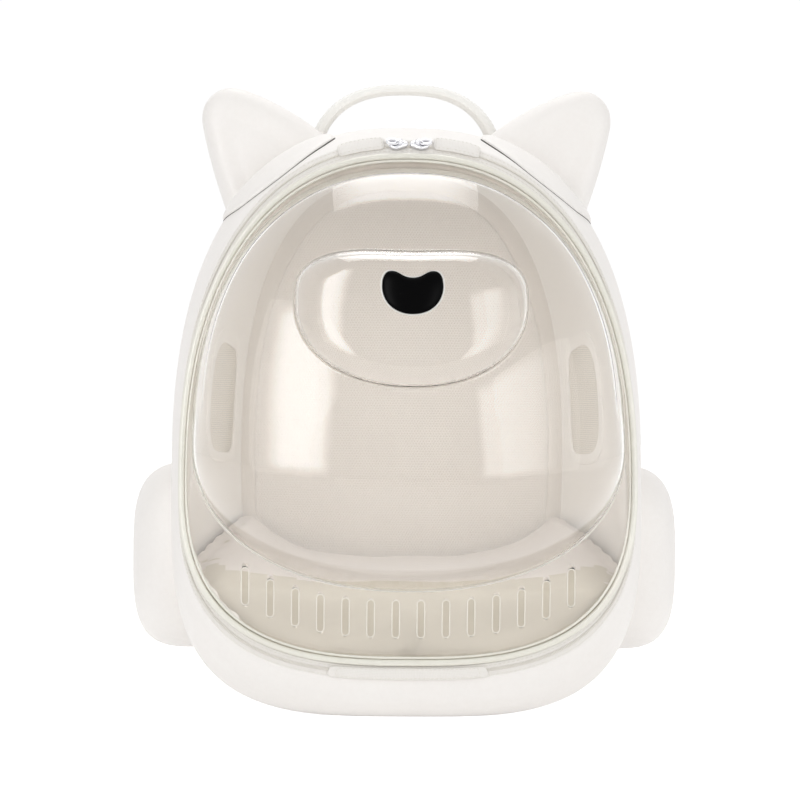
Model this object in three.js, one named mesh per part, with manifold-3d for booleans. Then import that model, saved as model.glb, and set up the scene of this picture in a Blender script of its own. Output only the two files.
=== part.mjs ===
// Pet carrier backpack with cat ears: a moulded shell whose front is a clear domed window on a zip.
// Millimetres, +Z up. The window faces -Y, the straps hang on the +Y side and the base stands on z = 0.

import * as THREE from 'three';
import { mergeVertices } from 'three/addons/utils/BufferGeometryUtils.js';
import Module from 'manifold-3d';

const wasm = await Module();
wasm.setup();

// Walls and clearances
const FIT = 0.3; // gap between neighbouring pieces
const SHELL_WALL = 3;
const LINING_WALL = 1.2;
const WINDOW_WALL = 2;
const TAPE_LIFTS = [-1.6, -0.4]; // zip tape, below the shell's surface
const COVER_LIFTS = [0.35, 2.1]; // cloth laid over the zip, above the shell's surface

// Body: sections from the window rim back to the lip round the back panel.
// y is the depth at WIDEST_Z and lean the depth gained with height. halfWidth, top and bottom are the
// outline's reach, arch and heel its squareness above and below, and chin the forward bulge at the foot.
const WIDEST_Z = 170;
const SECTIONS = [
  { at: 'rim', y: -70, lean: 0.16, halfWidth: 158.5, top: 394, bottom: 39, arch: 2.3, heel: 2.8, chin: 0 },
  { at: 'edge', y: -62, lean: 0.16, halfWidth: 161.5, top: 406, bottom: 27, arch: 2.35, heel: 3, chin: 6 },
  { at: 'roll', y: -44, lean: 0.14, halfWidth: 165.5, top: 412, bottom: 11, arch: 2.4, heel: 3.3, chin: 26 },
  { at: 'chin', y: -20, lean: 0.11, halfWidth: 167.5, top: 417, bottom: 0, arch: 2.5, heel: 3.6, chin: 36 },
  { at: 'belly', y: 12, lean: 0.08, halfWidth: 162, top: 418, bottom: -3, arch: 2.5, heel: 3.6, chin: 20 },
  { at: 'rear', y: 72, lean: 0.02, halfWidth: 142, top: 414, bottom: -3, arch: 2.5, heel: 3.6, chin: 0 },
  { at: 'back roll', y: 104, lean: 0, halfWidth: 129, top: 403, bottom: 8, arch: 2.5, heel: 3.4, chin: 0 },
  { at: 'back edge', y: 115, lean: 0, halfWidth: 121, top: 391, bottom: 22, arch: 2.5, heel: 3.3, chin: 0 },
  { at: 'lip', y: 117, lean: 0, halfWidth: 113, top: 381, bottom: 32, arch: 2.5, heel: 3.2, chin: 0 },
];
const RIM = SECTIONS[0];
const LIP = SECTIONS[SECTIONS.length - 1];
const LAST = SECTIONS.length - 1;
const SHELL_STEPS = [1, 1.7, 2.4, 3.1, 4.2, 5.1, 5.8, 6.5, LAST];
const AROUND = 36; // points round the body and the window

// Window
const PIPING_RADIUS = 2.3;
const PIPING_SIDES = 6;
const BULGE = { centreZ: 190, halfWidth: 151, top: 386, bottom: 88.5, arch: 2.25, heel: 2.15, depth: 80 };
const BULGE_SWELL = 2.05; // how flat the dome's middle is
const BULGE_FOOT = { side: 0.5, low: 0.8 }; // how upright its foot is: less makes it steeper
const FLANGE_RISE = 0.22; // forward slope of the flange and chin band
const CROWN_RISE = 4; // flange rise carried to the dome's middle
const BULGE_RINGS = [0, 0.05, 0.16, 0.36, 0.66, 0.92, 1]; // from the dome's foot to the muzzle
const MUZZLE = { centreZ: 289, halfWidth: 81, top: 327, bottom: 229.5, arch: 3, heel: 2.15, depth: 20,
  upright: 0.16 };
const MUZZLE_DIP = { depth: 3, width: 40 }; // the hollow in the middle of its top edge
const MUZZLE_RINGS = [
  { inset: 0.02, height: 0.45 },
  { inset: 0.07, height: 0.78 },
  { inset: 0.22, height: 0.95 },
  { inset: 0.6, height: 1 },
];
const SLOT = { count: 14, pitch: 17.4, width: 5.2, length: 26, lowZ: 69.5, endLift: 22, bend: 2.8 };

// Nose, as an outline from its middle
const NOSE = { z: 294, halfWidth: 20, above: 14.3, dip: 4.5, below: 14, sunk: -6, top: 4 };
const NOSE_RINGS = [
  { reach: 0.6, forward: 3.6 },
  { reach: 0.92, forward: 2.6 },
  { reach: 1, forward: 1.6 },
  { reach: 1, forward: NOSE.sunk },
];

// Zip hardware at the top and the hinge tab at the foot
const ZIP_STEP = 0.58; // where the teeth run, from the piping to the shell
const COVER = { from: 17, to: 50, steps: [0.4, 0.8, 1.25] };
const TAB = { halfWidth: 53, steps: [0.3, 0.65, 1] };
const SLIDER = { length: 14, width: 9, nose: 3.5, thick: 3.6, gap: 1.2, tip: 0.35, tail: 0.75 };
const BRIDGE = { inner: 4, outer: 9, post: 1.4, rise: 3.6, bar: 1.1, width: 2.2 };
const PULL = { from: 6.7, to: 16, width: 6.4, neck: 0.7, thick: 1.3, hole: 2.4, slack: 0.4, lift: 0.6 };

// Ears: tip circle, base corners sunk in the shoulder, and the collar on the shell
const EAR = { tipX: 128, tipZ: 426, tipRadius: 22, arcFrom: -12, arcTo: 108, outerX: 122, outerZ: 334,
  innerX: 44, innerZ: 400 };
const EAR_FULL = { outerX: 140.8, outerZ: 377.7, innerX: 80.4, innerZ: 433.6 }; // where its two sides bend
const EAR_MIDDLE = { x: 108, z: 398, y: 32 };
const EAR_TAPER = { fromZ: 360, toZ: 448, tip: 0.6 }; // depth left at the tip, against the base
const EAR_FRONT = 24;
const EAR_BACK = 26;
const EAR_DISH = 9;
const EAR_POINTS = 17;
const EAR_PUFF = 3; // how full the ear stays towards its edge
const EAR_RINGS = [
  { reach: 0.3, dish: 1 },
  { reach: 0.6, dish: 0.9 },
  { reach: 0.75, dish: 0.15 },
  { reach: 0.9, dish: 0 },
  { reach: 1, dish: 0 },
];
const EAR_BACK_REACHES = [0.85, 0.5];
const COLLAR = { from: 102, to: 126, middle: 113.5, front: 1.1, sweep: 0.011, back: 4.2, rows: 4, points: 7,
  lifts: [FIT, 3.4] };

// Haunches and side mesh
const HAUNCH = { x: 150, y: 34, z: 107, reach: 47, halfDepth: 70, halfHeight: 67, square: 3.4, wall: 3 };
const HAUNCH_FACES = { around: 16, along: 10 };
const MESH = { step: 5.15, angle: 19, halfSteps: 0.62, halfAngle: 16.5, square: 4, points: 20,
  lifts: [-2.6, -1.4] };
const MESH_HOLE = { scale: 1.008, lifts: [-9, 6] }; // size against the panel's, and reach through the wall
const MESH_FOLD = 0.55; // ring between the panel's edge and its middle

// Handle, straps and pads
const HANDLE = { y: 69, halfSpan: 69, baseZ: 384, topZ: 454, square: 2.5, halfDepth: 13, thin: 7, thick: 10,
  edge: 3 };
const HANDLE_STEPS = 14;
const PANEL = { inset: 1.4, innerY: 109, outerY: 119 };
const CUSHION = { frontZ: 87, backZ: 103, backY: 106 }; // its top slopes down to the window
const STRAP_SIDES = 8; // facets round a strap, the webbing and the handle
const STRAP = { halfWidth: 27, halfThick: 5, square: 4 };
const STRAP_ROUTE = [
  { x: 44, out: 0, z: 350 },
  { x: 44, out: 1, z: 335 },
  { x: 47, out: 13, z: 299 },
  { x: 53, out: 23.5, z: 250 },
  { x: 59, out: 24, z: 203 },
  { x: 65, out: 15, z: 160 },
];
const WEBBING = { halfWidth: 12.5, halfThick: 1, square: 6 };
const WEBBING_FOOT = [
  { x: 73, out: 5, z: 112 },
  { x: 76, out: 0, z: 84 },
  { x: 77, out: 0, z: 66 },
];

const CREAM = { color: 0xf4f0ec, roughness: 0.6, metalness: 0 };
const BEIGE = { color: 0xd8cebd, roughness: 0.85, metalness: 0 };
const CLEAR = { color: 0xe9e6e0, roughness: 0.08, metalness: 0, transparent: true, opacity: 0.35 };
const TRIM = { color: 0xefede2, roughness: 0.4, metalness: 0 };
const BLACK = { color: 0x050505, roughness: 0.25, metalness: 0 };
const METAL = { color: 0xc9c9cc, roughness: 0.25, metalness: 1 };

const radians = THREE.MathUtils.degToRad;

// Solids

function solidFrom(points, faces) {
  const geometry = new THREE.BufferGeometry().setFromPoints(points);
  geometry.setIndex(faces);
  return facingOut(geometry);
}

// Six times the enclosed volume is negative when the faces point inwards
function facingOut(geometry) {
  const corner = (i) => new THREE.Vector3().fromBufferAttribute(geometry.attributes.position, i);
  const index = Array.from(geometry.index.array);
  let volume = 0;
  for (let i = 0; i < index.length; i += 3) {
    const [a, b, c] = [corner(index[i]), corner(index[i + 1]), corner(index[i + 2])];
    volume += a.dot(b.cross(c));
  }
  if (volume < 0) {
    geometry.setIndex(index.reverse());
  }
  return geometry;
}

// Faces of the walls between loops of equal length, each split along its shorter diagonal
function wallFaces(points, size, spans) {
  const faces = [];
  for (let k = 0; k < spans; k++) {
    const here = k * size;
    const next = (here + size) % points.length;
    for (let i = 0; i < size; i++) {
      const j = (i + 1) % size;
      const [a, b, c, d] = [here + i, here + j, next + j, next + i];
      if (points[a].distanceTo(points[c]) < points[b].distanceTo(points[d])) {
        faces.push(a, b, c, a, c, d);
      } else {
        faces.push(a, b, d, b, c, d);
      }
    }
  }
  return faces;
}

// Surface through loops of equal length. Poles close its ends; without them the last loop joins the first.
function loft(loops, startPole, endPole) {
  const size = loops[0].length;
  const points = loops.flat();
  const faces = wallFaces(points, size, startPole ? loops.length - 1 : loops.length);
  if (startPole) {
    const start = points.push(startPole) - 1;
    const end = points.push(endPole) - 1;
    const last = (loops.length - 1) * size;
    for (let i = 0; i < size; i++) {
      const j = (i + 1) % size;
      faces.push(start, j, i, end, last + i, last + j);
    }
  }
  return solidFrom(points, faces);
}

function middle(loop) {
  const sum = loop.reduce((total, point) => total.add(point), new THREE.Vector3());
  return sum.divideScalar(loop.length);
}

function toSolid(geometry) {
  const bare = new THREE.BufferGeometry();
  bare.setAttribute('position', geometry.attributes.position.clone());
  bare.setIndex(geometry.index ? geometry.index.clone() : null);
  const merged = mergeVertices(bare, 1e-4);
  const mesh = new wasm.Mesh({
    numProp: 3,
    vertProperties: new Float32Array(merged.attributes.position.array),
    triVerts: new Uint32Array(merged.index.array),
  });
  return new wasm.Manifold(mesh);
}

function fromSolid(solid) {
  const mesh = solid.getMesh();
  const geometry = new THREE.BufferGeometry();
  geometry.setAttribute('position', new THREE.BufferAttribute(mesh.vertProperties, mesh.numProp));
  geometry.setIndex(new THREE.BufferAttribute(mesh.triVerts, 1));
  return geometry;
}

function cut(geometry, ...cutters) {
  return fromSolid(cutters.reduce((solid, cutter) => solid.subtract(toSolid(cutter)), toSolid(geometry)));
}

function join(...geometries) {
  const [first, ...rest] = geometries.map(toSolid);
  return fromSolid(rest.reduce((solid, other) => solid.add(other), first));
}

function common(geometry, other) {
  return fromSolid(toSolid(geometry).intersect(toSolid(other)));
}

// Body surface

function superRadius(across, up, halfWidth, rise, square) {
  return (Math.abs(across / halfWidth) ** square + Math.abs(up / rise) ** square) ** (-1 / square);
}

// One column of the section table at a step along it, on a smooth curve through the rows
function column(key, step) {
  const row = Math.min(Math.floor(step), LAST - 1);
  const value = (k) => SECTIONS[k][key];
  const t = step - row;
  const [b, c] = [value(row), value(row + 1)];
  const startSlope = row > 0 ? (c - value(row - 1)) / 2 : c - b;
  const endSlope = row + 1 < LAST ? (value(row + 2) - b) / 2 : c - b;
  const bend = 2 * (b - c) + startSlope + endSlope;
  const sag = 3 * (c - b) - 2 * startSlope - endSlope;
  return ((bend * t + sag) * t + startSlope) * t + b;
}

function skinPoint(step, angle) {
  const across = Math.cos(angle);
  const up = Math.sin(angle);
  const above = up >= 0;
  const rise = above ? column('top', step) - WIDEST_Z : WIDEST_Z - column('bottom', step);
  const square = above ? column('arch', step) : column('heel', step);
  const reach = superRadius(across, up, column('halfWidth', step), rise, square);
  const z = Math.max(WIDEST_Z + reach * up, 0);
  const forward = column('chin', step) * Math.max(-up, 0) ** 2;
  const y = column('y', step) + column('lean', step) * (z - WIDEST_Z) - forward;
  return new THREE.Vector3(reach * across, y, z);
}

function skinFrame(step, angle) {
  const small = 0.02;
  const back = skinPoint(Math.min(step + small, LAST), angle).sub(skinPoint(Math.max(step - small, 0), angle));
  const along = skinPoint(step, angle + small).sub(skinPoint(step, angle - small));
  const normal = back.clone().cross(along).normalize();
  return { back: back.normalize(), along: along.normalize(), normal };
}

// Point on the body's surface, lifted off it along its normal
function skin(step, angle, lift) {
  return skinPoint(step, angle).addScaledVector(skinFrame(step, angle).normal, lift);
}

const ringAngles = (count) => Array.from({ length: count }, (_, i) => (2 * Math.PI * i) / count);
const skinLoop = (step, lift) => ringAngles(AROUND).map((angle) => skin(step, angle, lift));

// Hoop between two lifts of the body's surface
function hoop(steps, outerLift, innerLift) {
  const outer = steps.map((step) => skinLoop(step, outerLift));
  const inner = steps.map((step) => skinLoop(step, innerLift)).reverse();
  return loft([...outer, ...inner]);
}

// Whole body as one filled form
function bodyForm(lift, steps = SHELL_STEPS) {
  const loops = steps.map((step) => skinLoop(step, lift));
  return loft(loops, middle(loops[0]), middle(loops[loops.length - 1]));
}

// Patch on the body, over some angles and the steps at each of them, with its two ends closed by strips
function patch(stepsAt, angles, lifts) {
  const [low, high] = lifts;
  const loops = angles.map((angle) => [
    ...stepsAt(angle).map((step) => skin(step, angle, high)),
    ...stepsAt(angle).reverse().map((step) => skin(step, angle, low)),
  ]);
  const points = loops.flat();
  const size = loops[0].length;
  const faces = wallFaces(points, size, loops.length - 1);
  const last = (loops.length - 1) * size;
  for (let i = 0; i < size / 2 - 1; i++) {
    const [a, b, c, d] = [i, i + 1, size - 2 - i, size - 1 - i];
    faces.push(c, b, a, d, c, a);
    faces.push(last + a, last + b, last + c, last + a, last + c, last + d);
  }
  return solidFrom(points, faces);
}

function spread(from, to, count) {
  return Array.from({ length: count }, (_, i) => from + ((to - from) * i) / (count - 1));
}

// Rounded window in the flank, as a panel between two lifts
function meshPanel(side, scale, lifts) {
  const centre = side > 0 ? radians(MESH.angle) : Math.PI - radians(MESH.angle);
  const ring = (reach, lift) => ringAngles(MESH.points).map((turn) => {
    const radius = superRadius(Math.cos(turn), Math.sin(turn), 1, 1, MESH.square) * reach * scale;
    const step = MESH.step + MESH.halfSteps * radius * Math.cos(turn);
    return skin(step, centre + radians(MESH.halfAngle) * radius * Math.sin(turn), lift);
  });
  const [low, high] = lifts;
  const loops = [ring(MESH_FOLD, high), ring(1, high), ring(1, low), ring(MESH_FOLD, low)];
  return loft(loops, skin(MESH.step, centre, high), skin(MESH.step, centre, low));
}

// Window

// Outline of a window feature at an angle about its own centre
function outlineAt(shape, angle, grow = 0) {
  const across = Math.cos(angle);
  const up = Math.sin(angle);
  const rise = up >= 0 ? shape.top - shape.centreZ : shape.centreZ - shape.bottom;
  const square = up >= 0 ? shape.arch : shape.heel;
  const reach = superRadius(across, up, shape.halfWidth + grow, rise + grow, square);
  return new THREE.Vector2(reach * across, shape.centreZ + reach * up);
}

function muzzleOutline(angle) {
  const point = outlineAt(MUZZLE, angle);
  if (point.y > MUZZLE.centreZ) {
    point.y -= MUZZLE_DIP.depth * Math.exp(-((point.x / MUZZLE_DIP.width) ** 2));
  }
  return point;
}

// Dome's height over the flange: zero at its foot, flattening to the middle
function bulgeHeight(x, z) {
  const above = z >= BULGE.centreZ;
  const rise = above ? BULGE.top - BULGE.centreZ : BULGE.centreZ - BULGE.bottom;
  const square = above ? BULGE.arch : BULGE.heel;
  const share = Math.abs(x / BULGE.halfWidth) ** square + Math.abs((z - BULGE.centreZ) / rise) ** square;
  const level = share ** (1 / square);
  const low = THREE.MathUtils.smoothstep((BULGE.centreZ - z) / rise, 0, 1);
  const foot = THREE.MathUtils.lerp(BULGE_FOOT.side, BULGE_FOOT.low, low);
  return BULGE.depth * Math.max(1 - level ** BULGE_SWELL, 0) ** foot;
}

// The muzzle stands off the dome more at its top, so its face is upright
const muzzleHeight = (z) => MUZZLE.depth + MUZZLE.upright * (z - MUZZLE.centreZ);

const rimY = (z) => RIM.y + RIM.lean * (z - WIDEST_Z);
const forwardOf = (flat, height) => new THREE.Vector3(flat.x, rimY(flat.y) - height, flat.y);

// Rings of the window's outer face, from the muzzle's middle out to the flange's edge
function windowRings() {
  const angles = ringAngles(AROUND);
  const rim = { ...RIM, centreZ: WIDEST_Z };
  const centre = new THREE.Vector2(0, MUZZLE.centreZ);
  const edges = angles.map((angle) => outlineAt(rim, angle, -PIPING_RADIUS - FIT));
  const feet = angles.map((angle) => outlineAt(BULGE, angle));
  const snouts = angles.map((angle, i) => {
    const turn = edges[i].clone().sub(centre).angle() - angle;
    return muzzleOutline(angle + Math.atan2(Math.sin(turn), Math.cos(turn)) / 2);
  });
  const muzzleRing = ({ inset, height }) => snouts.map((snout) => {
    const flat = snout.clone().lerp(centre, inset);
    return forwardOf(flat, CROWN_RISE + bulgeHeight(flat.x, flat.y) + muzzleHeight(flat.y) * height);
  });
  const bulgeRing = (share) => feet.map((foot, i) => {
    const flat = foot.clone().lerp(snouts[i], share);
    const rise = THREE.MathUtils.lerp(FLANGE_RISE * foot.distanceTo(edges[i]), CROWN_RISE, share);
    return forwardOf(flat, rise + bulgeHeight(flat.x, flat.y));
  });
  const edgeRing = edges.map((edge) => forwardOf(edge, 0));
  return [
    ...[...MUZZLE_RINGS].reverse().map(muzzleRing),
    ...[...BULGE_RINGS].reverse().map(bulgeRing),
    edgeRing,
  ];
}

const muzzleFront = (x, z) => rimY(z) - CROWN_RISE - bulgeHeight(x, z) - muzzleHeight(z);

// The same rings moved along their own normals, towards the outside for a positive lift
function liftRings(rings, lift) {
  const size = rings[0].length;
  return rings.map((ring, k) => ring.map((point, i) => {
    const inner = rings[Math.max(k - 1, 0)][i];
    const outer = rings[Math.min(k + 1, rings.length - 1)][i];
    const along = ring[(i + 1) % size].clone().sub(ring[(i + size - 1) % size]);
    const normal = along.cross(outer.clone().sub(inner)).normalize();
    return point.clone().addScaledVector(normal, normal.y < 0 ? lift : -lift);
  }));
}

const windowPole = (lift) => new THREE.Vector3(0, muzzleFront(0, MUZZLE.centreZ) - lift, MUZZLE.centreZ);

function ventSlots() {
  const half = SLOT.width / 2;
  const straight = SLOT.length / 2 - half;
  const outline = new THREE.Shape();
  outline.absarc(0, straight, half, 0, Math.PI);
  outline.absarc(0, -straight, half, Math.PI, 2 * Math.PI);
  const endX = (SLOT.pitch * (SLOT.count - 1)) / 2;
  return Array.from({ length: SLOT.count }, (_, i) => {
    const x = i * SLOT.pitch - endX;
    const z = SLOT.lowZ + SLOT.endLift * Math.abs(x / endX) ** SLOT.bend;
    const through = -2 * rimY(SLOT.lowZ);
    const slot = new THREE.ExtrudeGeometry(outline, { depth: through, bevelEnabled: false, curveSegments: 3 });
    slot.rotateX(Math.PI / 2);
    return slot.translate(x, 0, z);
  });
}

function windowDome() {
  const outer = windowRings();
  const inner = liftRings(outer, -WINDOW_WALL).reverse();
  const sheet = loft([...outer, ...inner], windowPole(0), windowPole(-WINDOW_WALL));
  return cut(sheet, ...ventSlots());
}

function windowForm(lift) {
  const rings = liftRings(windowRings(), lift);
  return loft(rings, windowPole(lift), new THREE.Vector3(0, rimY(WIDEST_Z), WIDEST_Z));
}

// Bean-shaped nose: two lobes with a hollow between them over a round foot
function nose() {
  const { halfWidth, above, below, dip } = NOSE;
  const outline = new THREE.Shape();
  outline.moveTo(0, -below);
  outline.bezierCurveTo(halfWidth * 0.5, -below, halfWidth, -below * 0.35, halfWidth, above * 0.4);
  outline.bezierCurveTo(halfWidth, above * 0.85, halfWidth * 0.8, above, halfWidth * 0.6, above);
  outline.bezierCurveTo(halfWidth * 0.35, above, halfWidth * 0.3, above - dip, 0, above - dip);
  const right = outline.getPoints(3);
  const left = right.slice(1, -1).reverse().map((point) => new THREE.Vector2(-point.x, point.y));
  const flats = [...right, ...left];
  const ring = ({ reach, forward }) => flats.map((flat) => {
    const [x, z] = [flat.x * reach, NOSE.z + flat.y * reach];
    return new THREE.Vector3(x, muzzleFront(x, z) - forward, z);
  });
  const pole = (forward) => new THREE.Vector3(0, muzzleFront(0, NOSE.z) - forward, NOSE.z);
  return cut(loft(NOSE_RINGS.map(ring), pole(NOSE.top), pole(NOSE.sunk)), windowForm(FIT));
}

// Cord round the window, on the rim
function windowPiping() {
  const loops = ringAngles(AROUND).map((angle) => {
    const frame = skinFrame(0, angle);
    return ringAngles(PIPING_SIDES).map((turn) => skinPoint(0, angle)
      .addScaledVector(frame.normal, PIPING_RADIUS * Math.cos(turn))
      .addScaledVector(frame.back, PIPING_RADIUS * Math.sin(turn)));
  });
  return loft(loops);
}

// Band between the piping and the shell's front edge
function zipTape() {
  const [low, high] = TAPE_LIFTS;
  const loops = ringAngles(AROUND).map((angle) => {
    const width = skinPoint(1, angle).distanceTo(skinPoint(0, angle));
    const start = (PIPING_RADIUS + FIT) / width;
    const end = 1 - FIT / width;
    return [skin(start, angle, high), skin(end, angle, high), skin(end, angle, low), skin(start, angle, low)];
  });
  return loft(loops);
}

// Cloth over the zip, given by its reach from the middle along the top or the foot
function zipCover(side) {
  const turn = (x) => Math.PI / 2 - side * Math.atan(x / (RIM.top - WIDEST_Z));
  return patch(() => [...COVER.steps], spread(turn(COVER.from), turn(COVER.to), 4), COVER_LIFTS);
}

function hingeTab() {
  const turn = Math.atan(TAB.halfWidth / (WIDEST_Z - RIM.bottom));
  return patch(() => [...TAB.steps], spread(-Math.PI / 2 - turn, -Math.PI / 2 + turn, 7), COVER_LIFTS);
}

// Zip hardware lies in a frame at the top of the zip: x runs outwards along it and z off the surface
function zipPlace(side) {
  const frame = skinFrame(ZIP_STEP, Math.PI / 2);
  const outwards = new THREE.Vector3(side, 0, 0);
  const across = frame.normal.clone().cross(outwards);
  const origin = skinPoint(ZIP_STEP, Math.PI / 2).addScaledVector(outwards, SLIDER.gap / 2);
  return new THREE.Matrix4().makeBasis(outwards, across, frame.normal).setPosition(origin);
}

function block(fromX, toX, width, fromZ, toZ) {
  const box = new THREE.BoxGeometry(toX - fromX, width, toZ - fromZ);
  return box.translate((fromX + toX) / 2, 0, (fromZ + toZ) / 2);
}

function zipSlider(side) {
  const half = SLIDER.width / 2;
  const outline = new THREE.Shape();
  outline.moveTo(0, -half * SLIDER.tip);
  outline.lineTo(SLIDER.nose, -half);
  outline.lineTo(SLIDER.length, -half * SLIDER.tail);
  outline.lineTo(SLIDER.length, half * SLIDER.tail);
  outline.lineTo(SLIDER.nose, half);
  outline.lineTo(0, half * SLIDER.tip);
  const body = new THREE.ExtrudeGeometry(outline, { depth: SLIDER.thick, bevelEnabled: false });
  const top = SLIDER.thick + BRIDGE.rise;
  const { inner, outer, post, width, bar } = BRIDGE;
  const posts = [inner, outer].map((x) => block(x - post / 2, x + post / 2, width, SLIDER.thick - 1, top));
  const beam = block(inner - post / 2, outer + post / 2, width, top - bar, top);
  return join(body, ...posts, beam).applyMatrix4(zipPlace(side));
}

// Plate that hangs on the slider's outer post and lies flat on it
function zipPull(side) {
  const end = PULL.width / 2;
  const outline = new THREE.Shape();
  outline.moveTo(PULL.from, -end * PULL.neck);
  outline.lineTo(PULL.to - end, -end);
  outline.absarc(PULL.to - end, 0, end, -Math.PI / 2, Math.PI / 2);
  outline.lineTo(PULL.from, end * PULL.neck);
  const hole = new THREE.Path();
  const half = PULL.hole / 2;
  hole.moveTo(BRIDGE.outer - half, -half);
  hole.lineTo(BRIDGE.outer + half, -half);
  hole.lineTo(BRIDGE.outer + half, half + PULL.slack);
  hole.lineTo(BRIDGE.outer - half, half + PULL.slack);
  outline.holes.push(hole);
  const options = { depth: PULL.thick, bevelEnabled: false, curveSegments: 6 };
  const plate = new THREE.ExtrudeGeometry(outline, options);
  return plate.translate(0, 0, SLIDER.thick + PULL.lift).applyMatrix4(zipPlace(side));
}

// Ears: a puffed form on a rounded three-cornered outline, dished in front, with a collar on the shell
function ear(side, seat) {
  const outline = new THREE.Shape();
  outline.absarc(EAR.tipX, EAR.tipZ, EAR.tipRadius, radians(EAR.arcFrom), radians(EAR.arcTo));
  const start = outline.getPoint(0);
  outline.quadraticCurveTo(EAR_FULL.innerX, EAR_FULL.innerZ, EAR.innerX, EAR.innerZ);
  outline.lineTo(EAR.outerX, EAR.outerZ);
  outline.quadraticCurveTo(EAR_FULL.outerX, EAR_FULL.outerZ, start.x, start.y);
  const flats = outline.getSpacedPoints(EAR_POINTS).slice(0, EAR_POINTS);
  const ring = (reach, depth) => flats.map((flat) => {
    const x = THREE.MathUtils.lerp(EAR_MIDDLE.x, flat.x, reach);
    const z = THREE.MathUtils.lerp(EAR_MIDDLE.z, flat.y, reach);
    const height = THREE.MathUtils.smoothstep(z, EAR_TAPER.fromZ, EAR_TAPER.toZ);
    const taper = THREE.MathUtils.lerp(1, EAR_TAPER.tip, height);
    return new THREE.Vector3(side * x, EAR_MIDDLE.y + depth * taper, z);
  });
  const puff = (reach) => Math.sqrt(1 - reach ** EAR_PUFF);
  const front = EAR_RINGS.map(({ reach, dish }) => ring(reach, EAR_DISH * dish - EAR_FRONT * puff(reach)));
  const back = EAR_BACK_REACHES.map((reach) => ring(reach, EAR_BACK * puff(reach)));
  const pole = (depth) => new THREE.Vector3(side * EAR_MIDDLE.x, EAR_MIDDLE.y + depth, EAR_MIDDLE.z);
  const form = loft([...front, ...back], pole(EAR_DISH - EAR_FRONT), pole(EAR_BACK));
  const turn = (degrees) => radians(side < 0 ? degrees : 180 - degrees);
  // The collar's front edge looks straight from the front, so on the round shoulder it sweeps forward
  const collarSteps = (angle) => {
    const away = THREE.MathUtils.radToDeg(angle - turn(COLLAR.middle));
    return spread(COLLAR.front + COLLAR.sweep * away ** 2, COLLAR.back, COLLAR.rows);
  };
  const collar = patch(collarSteps, spread(turn(COLLAR.from), turn(COLLAR.to), COLLAR.points), COLLAR.lifts);
  return join(cut(form, seat), cut(collar, seat));
}

// Haunch: a squarish ball cut off by the body, hollow towards it
function haunch(side, seat) {
  const ball = (less) => {
    const form = new THREE.SphereGeometry(1, HAUNCH_FACES.around, HAUNCH_FACES.along).rotateZ(Math.PI / 2);
    const place = form.attributes.position;
    for (let i = 0; i < place.count; i++) {
      const way = new THREE.Vector3().fromBufferAttribute(place, i);
      const sum = way.toArray().reduce((total, part) => total + Math.abs(part) ** HAUNCH.square, 0);
      way.multiplyScalar(sum ** (-1 / HAUNCH.square));
      place.setXYZ(i, way.x, way.y, way.z);
    }
    form.scale(HAUNCH.reach - less, HAUNCH.halfDepth - less, HAUNCH.halfHeight - less);
    return form.translate(side * HAUNCH.x, HAUNCH.y, HAUNCH.z);
  };
  return cut(ball(0), ball(HAUNCH.wall), seat);
}

// Flat section carried along a route, square to it, with its width towards X where it can be
function strapAlong(points, halfWidth, halfThick, square) {
  const route = new THREE.CatmullRomCurve3(points, false, 'centripetal');
  const steps = points.length * 2;
  const loops = Array.from({ length: steps + 1 }, (_, k) => {
    const centre = route.getPointAt(k / steps);
    const ahead = route.getTangentAt(k / steps);
    const wide = new THREE.Vector3(1, 0, 0).addScaledVector(ahead, -ahead.x).normalize();
    const thick = ahead.clone().cross(wide);
    return ringAngles(STRAP_SIDES).map((turn) => {
      const reach = superRadius(Math.cos(turn), Math.sin(turn), halfWidth, halfThick, square);
      return centre.clone()
        .addScaledVector(wide, reach * Math.cos(turn))
        .addScaledVector(thick, reach * Math.sin(turn));
    });
  });
  return loft(loops, route.getPointAt(0), route.getPointAt(1));
}

const strapPoint = (side, row, lift) => new THREE.Vector3(side * row.x, PANEL.outerY + lift + row.out, row.z);

function strap(side) {
  const points = STRAP_ROUTE.map((row) => strapPoint(side, row, STRAP.halfThick + FIT));
  return strapAlong(points, STRAP.halfWidth, STRAP.halfThick, STRAP.square);
}

// Webbing starts at the strap's lower end and is sewn to the panel's foot
function webbing(side) {
  const [before, end] = STRAP_ROUTE.slice(-2).map((row) => strapPoint(side, row, STRAP.halfThick + FIT));
  const onwards = end.clone().sub(before).normalize();
  const start = end.clone().addScaledVector(onwards, 2 * FIT);
  const foot = WEBBING_FOOT.map((row) => strapPoint(side, row, WEBBING.halfThick + FIT));
  return strapAlong([start, ...foot], WEBBING.halfWidth, WEBBING.halfThick, WEBBING.square);
}

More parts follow.
